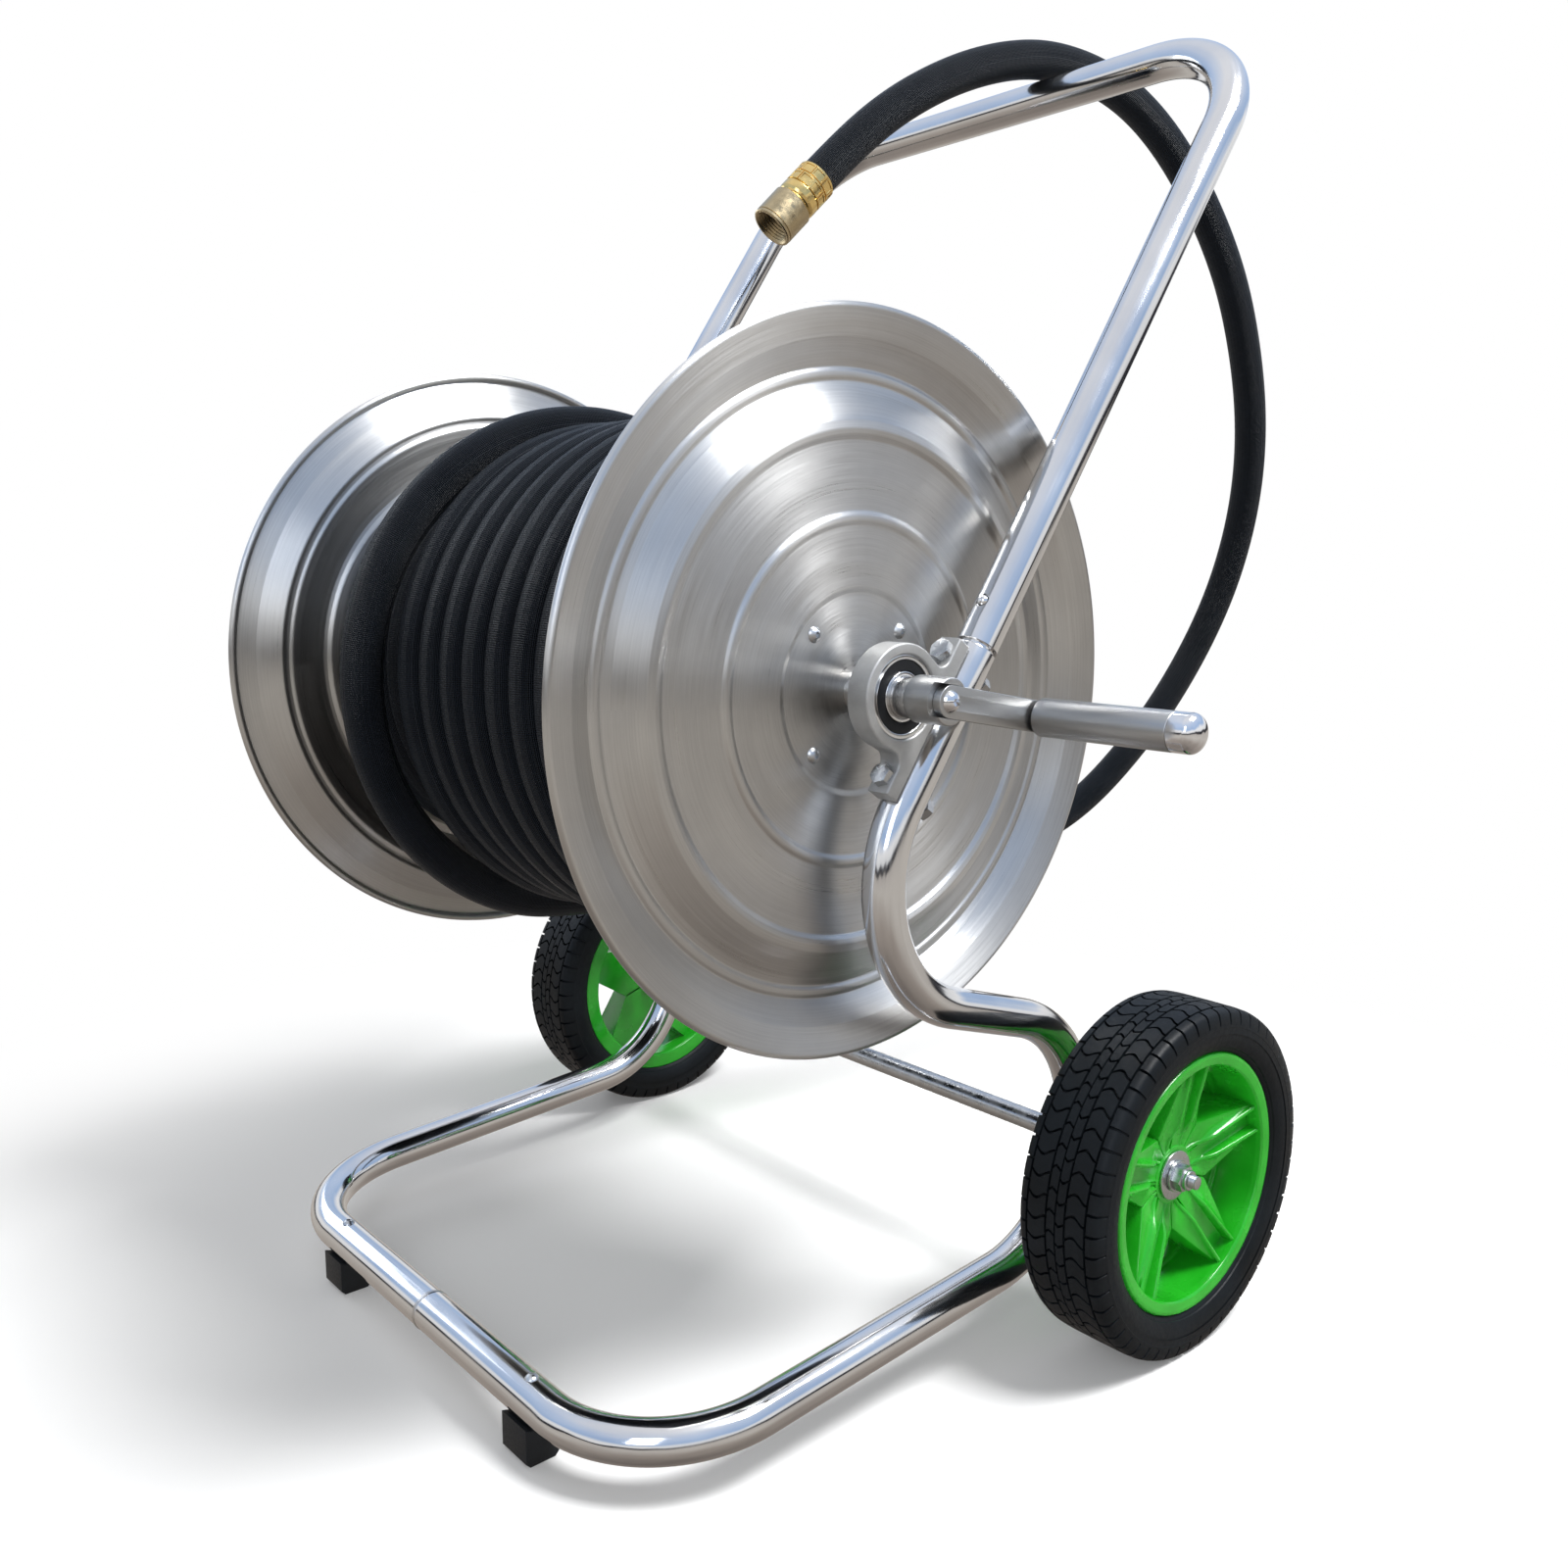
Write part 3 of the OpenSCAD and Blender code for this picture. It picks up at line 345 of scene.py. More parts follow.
def tidy_mesh(mesh, merge=1e-7):
    bm = bmesh.new()
    bm.from_mesh(mesh)
    bmesh.ops.remove_doubles(bm, verts=bm.verts, dist=merge)
    bmesh.ops.recalc_face_normals(bm, faces=bm.faces)
    bm.to_mesh(mesh)
    bm.free()
    return mesh


def rounded(points, radius, steps=4, closed=True):
    """A polyline with its corners rounded by arcs, as tight as the sides beside them allow."""
    pts = [Vector(p) for p in points]
    n = len(pts)
    out = []
    for i, p in enumerate(pts):
        if not closed and i in (0, n - 1):
            out.append(p)
            continue
        a, b = pts[i - 1] - p, pts[(i + 1) % n] - p
        turn = math.pi - a.angle(b)
        if turn < 0.02:
            out.append(p)
            continue
        reach = min(radius * math.tan(turn / 2), 0.45 * a.length, 0.45 * b.length)
        start, end = p + a.normalized() * reach, p + b.normalized() * reach
        for k in range(steps + 1):
            t = k / steps
            out.append((1 - t) ** 2 * start + 2 * t * (1 - t) * p + t * t * end)
    return [tuple(p) for p in out]


def lathe_mesh(name, profile, segments=64, closed=True):
    """Turns (radius, height) points around Z."""
    ring = [(math.cos(2 * math.pi * k / segments), math.sin(2 * math.pi * k / segments)) for k in range(segments)]
    n = len(profile)
    points = [(r * c, r * s, h) for r, h in profile for c, s in ring]
    faces = []
    for i in range(n if closed else n - 1):
        a, b = i * segments, (i + 1) % n * segments
        faces += [(a + k, a + (k + 1) % segments, b + (k + 1) % segments, b + k) for k in range(segments)]
    return tidy_mesh(mesh_from(name, points, faces))


def lathe(name, profile, matrix, segments=64, closed=True):
    return new_object(name, lathe_mesh(name, profile, segments, closed), matrix)


def turned(name, r_in, r_out, low, high, matrix, edge=0.0004, segments=64):
    """A ring or, with r_in 0, a solid disc or bar, with its edges broken."""
    outline = [(r_in, low), (r_out, low), (r_out, high), (r_in, high)]
    profile = rounded(outline, edge, 3)
    if r_in == 0:
        profile = [(0, low)] + [p for p in profile if p[0] > edge * 1.5] + [(0, high)]
    return lathe(name, profile, matrix, segments)


def sweep(name, path, radius, sides=32, radii=None, caps=True):
    """A tube along path, with the least twist. Its UV is the distance around and along, in metres."""
    p = np.array([tuple(q) for q in path])
    n = len(p)
    way = np.gradient(p, axis=0)
    way /= np.linalg.norm(way, axis=1)[:, None]
    side = np.zeros_like(p)
    first = np.array((1.0, 0, 0)) if abs(way[0][0]) < 0.9 else np.array((0, 1.0, 0))
    for i in range(n):
        guess = first if i == 0 else side[i - 1]
        guess = guess - way[i] * guess.dot(way[i])
        side[i] = guess / np.linalg.norm(guess)
    up = np.cross(way, side)
    angle = np.arange(sides) * 2 * math.pi / sides
    r = np.full(n, radius) if radii is None else np.array(radii)
    across, high = np.cos(angle), np.sin(angle)
    verts = p[:, None] + r[:, None, None] * (across[None, :, None] * side[:, None] + high[None, :, None] * up[:, None])
    verts = verts.reshape(-1, 3)
    i, k = np.meshgrid(np.arange(n - 1), np.arange(sides), indexing="ij")
    a, b = i * sides + k, i * sides + (k + 1) % sides
    faces = np.stack([a, b, b + sides, a + sides], -1).reshape(-1, 4)
    steps = np.linalg.norm(np.diff(p, axis=0), axis=1)
    along = np.concatenate([[0], np.cumsum(steps)])
    u0, u1 = k / sides * 2 * math.pi * radius, (k + 1) / sides * 2 * math.pi * radius
    v0, v1 = along[i], along[i + 1]
    uv = np.stack([u0, v0, u1, v0, u1, v1, u0, v1], -1).reshape(-1, 2)
    faces = faces.tolist()
    if caps:
        faces += [list(range(sides - 1, -1, -1)), list(range((n - 1) * sides, n * sides))]
        uv = np.concatenate([uv, np.zeros((2 * sides, 2))])
    mesh = bpy.data.meshes.new(name)
    mesh.from_pydata(verts.tolist(), [], faces)
    layer = mesh.uv_layers.new(name="UVMap")
    layer.data.foreach_set("uv", uv.astype(np.float32).ravel())
    return new_object(name, mesh)


def plate(name, outline, thickness, matrix, holes=(), edge=0.0006, steps=2):
    """A flat plate from its outline, with holes and rounded edges, from z = 0 to thickness."""
    curve = bpy.data.curves.new(name, "CURVE")
    curve.dimensions = "2D"
    curve.fill_mode = "BOTH"
    curve.extrude = thickness / 2 - edge
    curve.bevel_depth = edge
    curve.bevel_resolution = steps
    curve.offset = -edge
    for loop in (outline, *holes):
        spline = curve.splines.new("POLY")
        spline.points.add(len(loop) - 1)
        spline.points.foreach_set("co", [c for q in loop for c in (q[0], q[1], 0, 1)])
        spline.use_cyclic_u = True
    holder = bpy.data.objects.new(name, curve)
    mesh = bpy.data.meshes.new_from_object(holder)
    mesh.name = name
    mesh.transform(Matrix.Translation((0, 0, thickness / 2)))
    bpy.data.objects.remove(holder)
    return new_object(name, tidy_mesh(mesh, 1e-6), matrix)


def circle(r, count=48, cx=0.0, cy=0.0, start=0.0, sweep_a=2 * math.pi):
    whole = abs(sweep_a) > 2 * math.pi - 1e-6
    steps = count if whole else count - 1
    return [(cx + r * math.cos(start + sweep_a * k / steps), cy + r * math.sin(start + sweep_a * k / steps))
            for k in range(count)]


def hexagon(af):
    return circle(af / math.sqrt(3), 6)


def cut(obj, cutter, operation="DIFFERENCE"):
    """Boolean of obj with cutter, applied; the cutter is removed."""
    mod = obj.modifiers.new("cut", "BOOLEAN")
    mod.operation = operation
    mod.solver = "EXACT"
    mod.object = cutter
    bpy.context.view_layer.update()
    done = bpy.data.meshes.new_from_object(obj.evaluated_get(bpy.context.evaluated_depsgraph_get()))
    obj.modifiers.clear()
    obj.data = done
    bpy.data.objects.remove(cutter)
    return obj


def prism(name, outline, low, high, matrix=None):
    n = len(outline)
    points = [(x, y, low) for x, y in outline] + [(x, y, high) for x, y in outline]
    faces = [tuple(range(n - 1, -1, -1)), tuple(range(n, 2 * n))]
    faces += [(k, (k + 1) % n, n + (k + 1) % n, n + k) for k in range(n)]
    return new_object(name, mesh_from(name, points, faces), matrix)


def copies(name, source, matrices):
    """One object holding a copy of source's mesh at each matrix; source is removed."""
    bm = bmesh.new()
    for m in matrices:
        mesh = source.data.copy()
        mesh.transform(m)
        if m.to_3x3().determinant() < 0:
            mesh.flip_normals()
        bm.from_mesh(mesh)
        bpy.data.meshes.remove(mesh)
    out = bpy.data.meshes.new(name)
    bm.to_mesh(out)
    bm.free()
    bpy.data.objects.remove(source)
    return new_object(name, out)


def joined(name, objects):
    """One object from several, at their places."""
    bm = bmesh.new()
    for o in objects:
        mesh = o.data.copy()
        mesh.transform(o.matrix_world)
        bm.from_mesh(mesh)
        bpy.data.meshes.remove(mesh)
        bpy.data.objects.remove(o)
    out = bpy.data.meshes.new(name)
    bm.to_mesh(out)
    bm.free()
    return new_object(name, out)


MIRROR = Matrix.Translation((2 * REEL_AT.x, 0, 0)) @ Matrix.Diagonal((-1, 1, 1, 1))


def mirrored(m, side):
    return m if side == RIGHT else MIRROR @ m


def on_shaft(x, side=RIGHT):
    """Z runs out along the shaft from x; on the left side everything is mirrored."""
    return mirrored(basis(at(x, 0, SHAFT_Z), X, Y), side)


def mirror_x(path):
    return [Vector((2 * REEL_AT.x - p.x, p.y, p.z)) for p in path]


# ---------------------------------------------------------------- camera

def make_camera():
    eye = Vector((0.8096, -0.6884, 0.5594))
    azimuth, tilt, roll = math.radians(-48.95), math.radians(9.39), math.radians(0.29)
    ahead = Vector((math.cos(tilt) * math.sin(azimuth), math.cos(tilt) * math.cos(azimuth), -math.sin(tilt)))
    right = ahead.cross(Z).normalized()
    up = right.cross(ahead)
    cam_x = right * math.cos(roll) + up * math.sin(roll)
    cam_y = -right * math.sin(roll) + up * math.cos(roll)
    data = bpy.data.cameras.new("camera")
    data.sensor_width = 36
    data.lens = 31.77
    data.shift_x, data.shift_y = 0.0044, 0.0036
    cam = bpy.data.objects.new("camera", data)
    m = Matrix((cam_x, cam_y, -ahead)).transposed().to_4x4()
    m.translation = eye
    cam.matrix_world = m
    bpy.context.scene.collection.objects.link(cam)
    bpy.context.scene.camera = cam


make_camera()


# ---------------------------------------------------------------- hose

def spline_through(points, per_gap):
    """A natural cubic spline through points, evenly stepped between each two."""
    p = np.array([tuple(q) for q in points])
    t = np.concatenate([[0], np.cumsum(np.linalg.norm(np.diff(p, axis=0), axis=1))])
    n, h = len(p), np.diff(t)
    a = np.eye(n)
    rhs = np.zeros_like(p)
    for i in range(1, n - 1):
        a[i, i - 1:i + 2] = h[i - 1], 2 * (h[i - 1] + h[i]), h[i]
        rhs[i] = 6 * ((p[i + 1] - p[i]) / h[i] - (p[i] - p[i - 1]) / h[i - 1])
    bend = np.linalg.solve(a, rhs)
    out = []
    for i in range(n - 1):
        for s in np.linspace(0, h[i], per_gap, endpoint=False):
            u = h[i] - s
            out.append((bend[i] * u ** 3 + bend[i + 1] * s ** 3) / (6 * h[i])
                       + (p[i] / h[i] - bend[i] * h[i] / 6) * u + (p[i + 1] / h[i] - bend[i + 1] * h[i] / 6) * s)
    out.append(p[-1])
    return [Vector(q) for q in out]


def free_hose_path():
    line = []
    for a in range(0, WRAP_SWEEP, WRAP_STEP):
        t = a / WRAP_SWEEP
        x = WRAP_FROM[0] + t * (WRAP_TO[0] - WRAP_FROM[0])
        r = WRAP_FROM[1] + t * (WRAP_TO[1] - WRAP_FROM[1])
        line.append(at(x, r * math.cos(math.radians(a)), SHAFT_Z + r * math.sin(math.radians(a))))
    line += [at(*p) for p in HOSE_ROUTE]
    return spline_through(line, 10)


def winding_path():
    """Three layers of turns, each turn in its plane for three quarters and then a step sideways."""
    pitch = 0.02954
    half = 0.192
    turns = [(half - k * pitch, 0.115) for k in range(14)]
    turns += [((k - 6) * pitch, 0.141) for k in range(13)]
    turns += [(half - k * pitch, 0.167) for k in range(8)]
    turns += [(half - 8 * pitch, 0.168), (WRAP_FROM[0] - 0.01, WRAP_FROM[1])]
    per_turn = 88
    path = []
    total = int((len(turns) - 1 - 0.25) * per_turn)
    for i in range(total + 1):
        t = i / per_turn
        k = int(t)
        part = min(max((t - k - 0.62) / 0.38, 0), 1)
        step = part * part * (3 - 2 * part)
        x = turns[k][0] + step * (turns[k + 1][0] - turns[k][0])
        r = turns[k][1] + step * (turns[k + 1][1] - turns[k][1])
        if i > total - per_turn // 2:
            ease = (i - total + per_turn // 2) / (per_turn // 2)
            x += ease * ease * (3 - 2 * ease) * (WRAP_FROM[0] - x)
            r += ease * ease * (3 - 2 * ease) * (WRAP_FROM[1] - r)
        a = math.pi / 2 + 2 * math.pi * t
        path.append(at(x, r * math.cos(a), SHAFT_Z + r * math.sin(a)))
    return path


def make_hose():
    free = free_hose_path()
    hose = sweep("hose_free_run", free, HOSE_D / 2, 28)
    finish_piece(hose, "hose_rubber", "frame", "hose_free")
    wound = winding_path()
    coil = sweep("hose_on_reel", wound, HOSE_D / 2 - 0.0003, 18)
    finish_piece(coil, "hose_rubber", "reel", "hose_winding")
    return hose, free


# ---------------------------------------------------------------- tubes of the frame

def flat_arc(cx, cy, r, start, sweep_a, steps):
    return [(cx + r * math.cos(start + sweep_a * k / steps), cy + r * math.sin(start + sweep_a * k / steps))
            for k in range(steps + 1)]


def heading(a):
    return Vector((math.cos(a), math.sin(a)))


LEAN_DIR = Vector((0, math.sin(LEAN), math.cos(LEAN)))
FRONT_N = Vector((0, -math.cos(LEAN), math.sin(LEAN)))
NECK = at(0, 0, SHAFT_Z) - FRONT_N * SHAFT_STAND


def on_lean(x, s, n):
    """A point of the handle's plane: s up the lean from the neck and n forward, to the shaft."""
    return NECK + X * x + LEAN_DIR * s + FRONT_N * n


def side_outline():
    """The side tube from the front bar to the neck, as (y, z) points, and where the corner ends."""
    rail = heading(RAIL_RISE)
    bar = Vector((BAR_Y, BAR_Z))
    corner = bar + BEND_R * rail
    rear_c = bar + RAIL_LEN * rail + BEND_R * heading(RAIL_RISE + math.pi / 2)
    waist_way = heading(REAR_END + math.pi / 2)
    back = heading(-LEAN)
    front_a = math.pi - LEAN
    waist_from = rear_c + BEND_R * heading(REAR_END)
    shaft = Vector((0, SHAFT_Z))
    probe = waist_from + BEND_R * heading(REAR_END) + BEND_R * heading(front_a)
    waist_len = (SHAFT_STAND - (probe - shaft).dot(back)) / waist_way.dot(back)
    front_c = waist_from + waist_len * waist_way + BEND_R * heading(REAR_END)
    points = flat_arc(*rear_c, BEND_R, RAIL_RISE - math.pi / 2, REAR_END + math.pi / 2 - RAIL_RISE, 40)
    points += flat_arc(*front_c, BEND_R, REAR_END + math.pi, -(REAR_END + LEAN), 40)
    return corner, rear_c, points


def with_steps(path, longest):
    """The path with its long straight gaps cut into steps."""
    out = [path[0]]
    for q in path[1:]:
        count = max(1, math.ceil((q - out[-1]).length / longest))
        start = out[-1]
        out += [start.lerp(q, k / count) for k in range(1, count + 1)]
    return out


def frame_path():
    corner, _, side = side_outline()
    path = [at(0, BAR_Y, BAR_Z)]
    for k in range(41):
        a = -math.pi / 2 + math.pi / 2 * k / 40
        path.append(at(CORNER_X + BEND_R * math.cos(a), corner.x + BEND_R * math.sin(a) * math.cos(RAIL_RISE),
                       corner.y + BEND_R * math.sin(a) * math.sin(RAIL_RISE)))
    path += [at(SIDE_X, y, z) for y, z in side]
    path.append(on_lean(SIDE_X, SHOULDER_S - 0.0008, 0))
    return with_steps(path, 0.03)


def make_frame_tubes():
    path = frame_path()
    edge = [on_lean(SIDE_X, SHOULDER_S - 0.0004, 0), on_lean(SIDE_X, SHOULDER_S, 0),
            on_lean(SIDE_X, SHOULDER_S + 0.00001, 0), on_lean(SIDE_X, SPIGOT_S - 0.02, 0)]
    radii = [TUBE_R] * len(path) + [TUBE_R - 0.0001, TUBE_R - 0.0005, 0.0122, 0.0122]
    for name, side in (("frame_tube_right", RIGHT), ("frame_tube_left", LEFT)):
        line = path + edge if side == RIGHT else mirror_x(path + edge)
        tube = sweep(name + "_skin", line, TUBE_R, 56, radii)
        finish_piece(tube, "polished_tube", "frame", name)
    bead = rounded([(TUBE_R - 0.001, -0.0032), (TUBE_R + 0.0004, -0.0016), (TUBE_R + 0.0004, 0.0016),
                    (TUBE_R - 0.001, 0.0032)], 0.002, 5)
    weld = lathe("centre_weld_bead", bead, basis(at(0, BAR_Y, BAR_Z), X), 56)
    finish_piece(weld, "weld_steel", "frame", "centre_weld")


def make_handle():
    leg = HANDLE_LEN - BEND_R
    flat = [(SIDE_X, SLEEVE_S)] + [(SIDE_X, SLEEVE_S + 0.0004)]
    flat += flat_arc(CORNER_X, leg, BEND_R, 0, math.pi / 2, 44)
    flat += flat_arc(-CORNER_X, leg, BEND_R, math.pi / 2, math.pi / 2, 44)
    flat += [(-SIDE_X, SLEEVE_S + 0.0004), (-SIDE_X, SLEEVE_S)]
    path = with_steps([on_lean(x, s, 0) for x, s in flat], 0.03)
    radii = [TUBE_R] * len(path)
    radii[0] = radii[-1] = TUBE_R - 0.0004
    tube = sweep("handle_tube_skin", path, TUBE_R, 56, radii)
    for x in (SIDE_X, -SIDE_X):
        hole = prism("hole", circle(0.0047, 32), 0.001, 0.02, basis(on_lean(x, BUTTON_S, 0), FRONT_N))
        cut(tube, hole)
    finish_piece(tube, "polished_tube", "frame", "handle_tube", sharp=40)


def make_buttons():
    ball = [(0, 0.0163)] + [(0.0042 * math.sin(a), 0.0121 + 0.0042 * math.cos(a))
                            for a in np.linspace(0.15, math.pi / 2, 8)] + [(0.0042, 0.0075), (0, 0.0075)]
    for name, side in (("right", RIGHT), ("left", LEFT)):
        button = lathe("snap_button_dome_" + name, ball, basis(on_lean(SIDE_X * side, BUTTON_S, 0), FRONT_N), 32)
        finish_piece(button, "button_chrome", "button_" + name, "snap_button_" + name)


def make_feet():
    half, top = 0.012, 0.0262
    sag = [(-0.199 + 0.0142 * math.sin(a), BAR_Z - 0.0142 * math.cos(a)) for a in np.linspace(0.72, -0.62, 9)]
    y0 = BAR_Y - 0.002
    outline = [(y0 - half, top), (y0 - half, 0.003), (y0 - half + 0.003, 0.0), (y0 + half - 0.003, 0.0),
               (y0 + half, 0.003), (y0 + half, top)] + [(y, z) for y, z in sag if abs(y - y0) < half]
    local = [(y - BAR_Y, z) for y, z in outline]
    for name, side in (("foot_right", RIGHT), ("foot_left", LEFT)):
        place = basis(at(FOOT_X * side - 0.015, BAR_Y, 0), X, Y)
        foot = plate(name + "_block", local, 0.030, place, edge=0.0009, steps=3)
        finish_piece(foot, "foot_rubber", "frame", name)
    screw = button_screw("foot_screw", 0.0046, 0.0028, 0.003)
    heads = [basis(at(FOOT_X * side, BAR_Y, BAR_Z + TUBE_R - 0.0002), Z) for side in (RIGHT, LEFT)]
    finish_piece(copies("foot_screw_heads", screw, heads), "zinc_steel", "frame", "foot_screws")


# ---------------------------------------------------------------- screws and nuts

def button_screw(name, r, h, socket):
    """Domed head with a hex socket, seated at z = 0."""
    dome_r = (r * r + h * h) / (2 * h)
    top = math.asin(min(1, r / dome_r))
    dome = [(dome_r * math.sin(a), h - dome_r + dome_r * math.cos(a)) for a in np.linspace(0, top, 12)]
    head = lathe(name, [(0, 0)] + [(r, 0)] + dome[::-1], None, 40)
    return cut(head, prism("socket", hexagon(socket), h * 0.3, h * 2))


def hex_shape(name, af, h):
    """Hex head or nut body with its corners turned off, from z = 0 to h."""
    outer = af / math.sqrt(3) * 1.01
    lean = (outer - af / 2) * 0.55
    cone = [(0, 0), (outer, 0), (outer, h - lean), (outer - (outer - af / 2) * 1.1, h), (0, h)]
    body = prism(name, hexagon(af), -0.0001, h + 0.0001)
    return cut(body, lathe("cone", cone, None, 48), "INTERSECT")


def make_housing_bolts():
    head_n = TUBE_R + 0.0001 + 0.011 + 0.0001
    head = hex_shape("bolt", 0.013, 0.0053)
    marks = [prism("mark", [(0.0022, -0.0004), (0.0048, -0.0004), (0.0048, 0.0004), (0.0022, 0.0004)], 0.005, 0.0055,
                   Matrix.Rotation(a, 4, "Z")) for a in np.linspace(0, 2 * math.pi, 6, endpoint=False)]
    head = joined("bolt", [head] + marks)
    places = []
    for side in (RIGHT, LEFT):
        for s, turn in ((BOLT_S, 0.3), (-BOLT_S, 0.9)):
            places.append(basis(on_lean(SIDE_X * side, s, head_n), FRONT_N) @ Matrix.Rotation(turn, 4, "Z"))
    finish_piece(copies("housing_bolt_heads", head, places), "zinc_steel", "frame", "housing_bolts")
    nut = hex_shape("nut", 0.013, 0.0065)
    stub = turned("stub", 0, 0.004, 0, 0.0085, None, 0.0006, 32)
    nut = joined("nut", [nut, stub])
    places = [basis(on_lean(SIDE_X * side, s, -TUBE_R - 0.0001), -FRONT_N) @ Matrix.Rotation(s * 9, 4, "Z")
              for side in (RIGHT, LEFT) for s in (BOLT_S, -BOLT_S)]
    finish_piece(copies("housing_nut_set", nut, places), "zinc_steel", "frame", "housing_nuts")


# ---------------------------------------------------------------- pillow blocks

def housing_outline():
    """Base pads and a ring, joined by hollow fillets, as (s, n) from the neck."""
    ring_r, low, pad_top, end, fillet = 0.033, TUBE_R + 0.0001, 0.0251, 0.056, 0.0085
    drop = SHAFT_STAND - pad_top - fillet
    s_f = math.sqrt((ring_r + fillet) ** 2 - drop ** 2)
    swing = math.pi / 2 + math.atan2(-drop, s_f)
    right = [(end, low), (end, pad_top)] + flat_arc(s_f, pad_top + fillet, fillet, -math.pi / 2, -swing, 10)
    join = -math.atan2(drop, s_f)
    top = flat_arc(0, SHAFT_STAND, ring_r, join, math.pi - 2 * join, 64)[1:-1]
    return right + top + [(-x, n) for x, n in reversed(right)]


def make_housings():
    outline = housing_outline()
    half = 0.0175 / 2
    for name, side in (("right", RIGHT), ("left", LEFT)):
        place = Matrix((LEAN_DIR, FRONT_N, X)).transposed().to_4x4()
        place.translation = on_lean(SIDE_X * side - half, 0, 0)
        hole = circle(0.02606, 72, 0, SHAFT_STAND)
        block = plate("bearing_block_" + name, outline, 2 * half, place, [hole[::-1]], 0.0014, 3)
        finish_piece(block, "cast_housing", "frame", "bearing_housing_" + name)


def make_bearings():
    half = 0.0075
    for name, r_in, r_out, slot, body, node_name, inset in (
            ("bearing_outer", 0.0228, 0.026, "bearing_steel", "frame", "bearing_outer_rings", 0.0),
            ("bearing_seal", 0.0159, 0.0228, "seal_rubber", "frame", "bearing_seals", 0.0006),
            ("bearing_inner", 0.01255, 0.0156, "bearing_steel", "reel", "bearing_inner_rings", 0.0)):
        rings = [turned(name, r_in, r_out, -half + inset, half - inset, on_shaft(SIDE_X, side), 0.0006, 72)
                 for side in (RIGHT, LEFT)]
        for o in rings:
            if o.matrix_world.determinant() < 0:
                o.data.flip_normals()
        finish_piece(joined(name + "_pair", rings), slot, body, node_name)


# ---------------------------------------------------------------- reel

def sheet_outline(line, thick):
    """Both faces of a sheet, from the line through its middle."""
    pts = [Vector(p) for p in line]
    sides = []
    for i, p in enumerate(pts):
        way = (pts[min(i + 1, len(pts) - 1)] - pts[max(i - 1, 0)]).normalized()
        sides.append(Vector((-way.y, way.x)) * thick / 2)
    return [tuple(p + s) for p, s in zip(pts, sides)] + [tuple(p - s) for p, s in reversed(list(zip(pts, sides)))]


def make_flanges():
    thick = 0.0013
    face = [(0.0126, 0.217), (0.0625, 0.217), (0.0660, 0.2185), (0.104, 0.219), (0.1065, 0.2206), (0.1095, 0.2206),
            (0.112, 0.219), (0.155, 0.220), (0.158, 0.222), (0.161, 0.2228), (0.166, 0.222), (0.184, 0.213),
            (0.190, 0.211), (0.1925, 0.2124), (0.1955, 0.2124), (0.198, 0.211), (0.2145, 0.221), (0.2292, 0.2266)]
    line = rounded([(r, x - thick / 2) for r, x in face], 0.0035, 5, closed=False)
    roll = flat_arc(0.2311, 0.2242, 0.00225, math.radians(108), math.radians(-320), 28)
    profile = sheet_outline(line[:-1] + roll, thick)
    for name, side in (("flange_right", RIGHT), ("flange_left", LEFT)):
        disc = lathe(name + "_disc", profile, None, 288)
        disc.data.transform(Matrix.Rotation(math.radians(90), 4, "Y"))
        if side == LEFT:
            disc.data.transform(Matrix.Diagonal((-1, 1, 1, 1)))
            disc.data.flip_normals()
        disc.matrix_world = Matrix.Translation(at(0, 0, SHAFT_Z))
        finish_piece(disc, "brushed_sheet", "reel", name, sharp=50)
    screw = button_screw("flange_screw", 0.0052, 0.0032, 0.0035)
    places = []
    for side in (RIGHT, LEFT):
        for k in range(4):
            turn = Matrix.Rotation(math.radians(45 + 90 * k), 4, "Z")
            places.append(on_shaft(FLANGE_X, side) @ turn @ Matrix.Translation((0.0525, 0, 0.00005)))
    finish_piece(copies("flange_screw_heads", screw, places), "zinc_steel", "reel", "flange_screws")


def make_shaft():
    bar = [turned("bar", 0, 0.0125, -0.272, 0.272, basis(at(0, 0, SHAFT_Z), X), 0.0008, 72),
           turned("crank_end", 0, 0.008, 0.271, 0.2858, basis(at(0, 0, SHAFT_Z), X), 0.0004, 48),
           turned("inlet_end", 0, 0.00995, 0.271, 0.296, basis(at(0, 0, SHAFT_Z), -X), 0.0006, 48)]
    finish_piece(joined("shaft_bar", bar), "shaft_steel", "reel", "shaft")


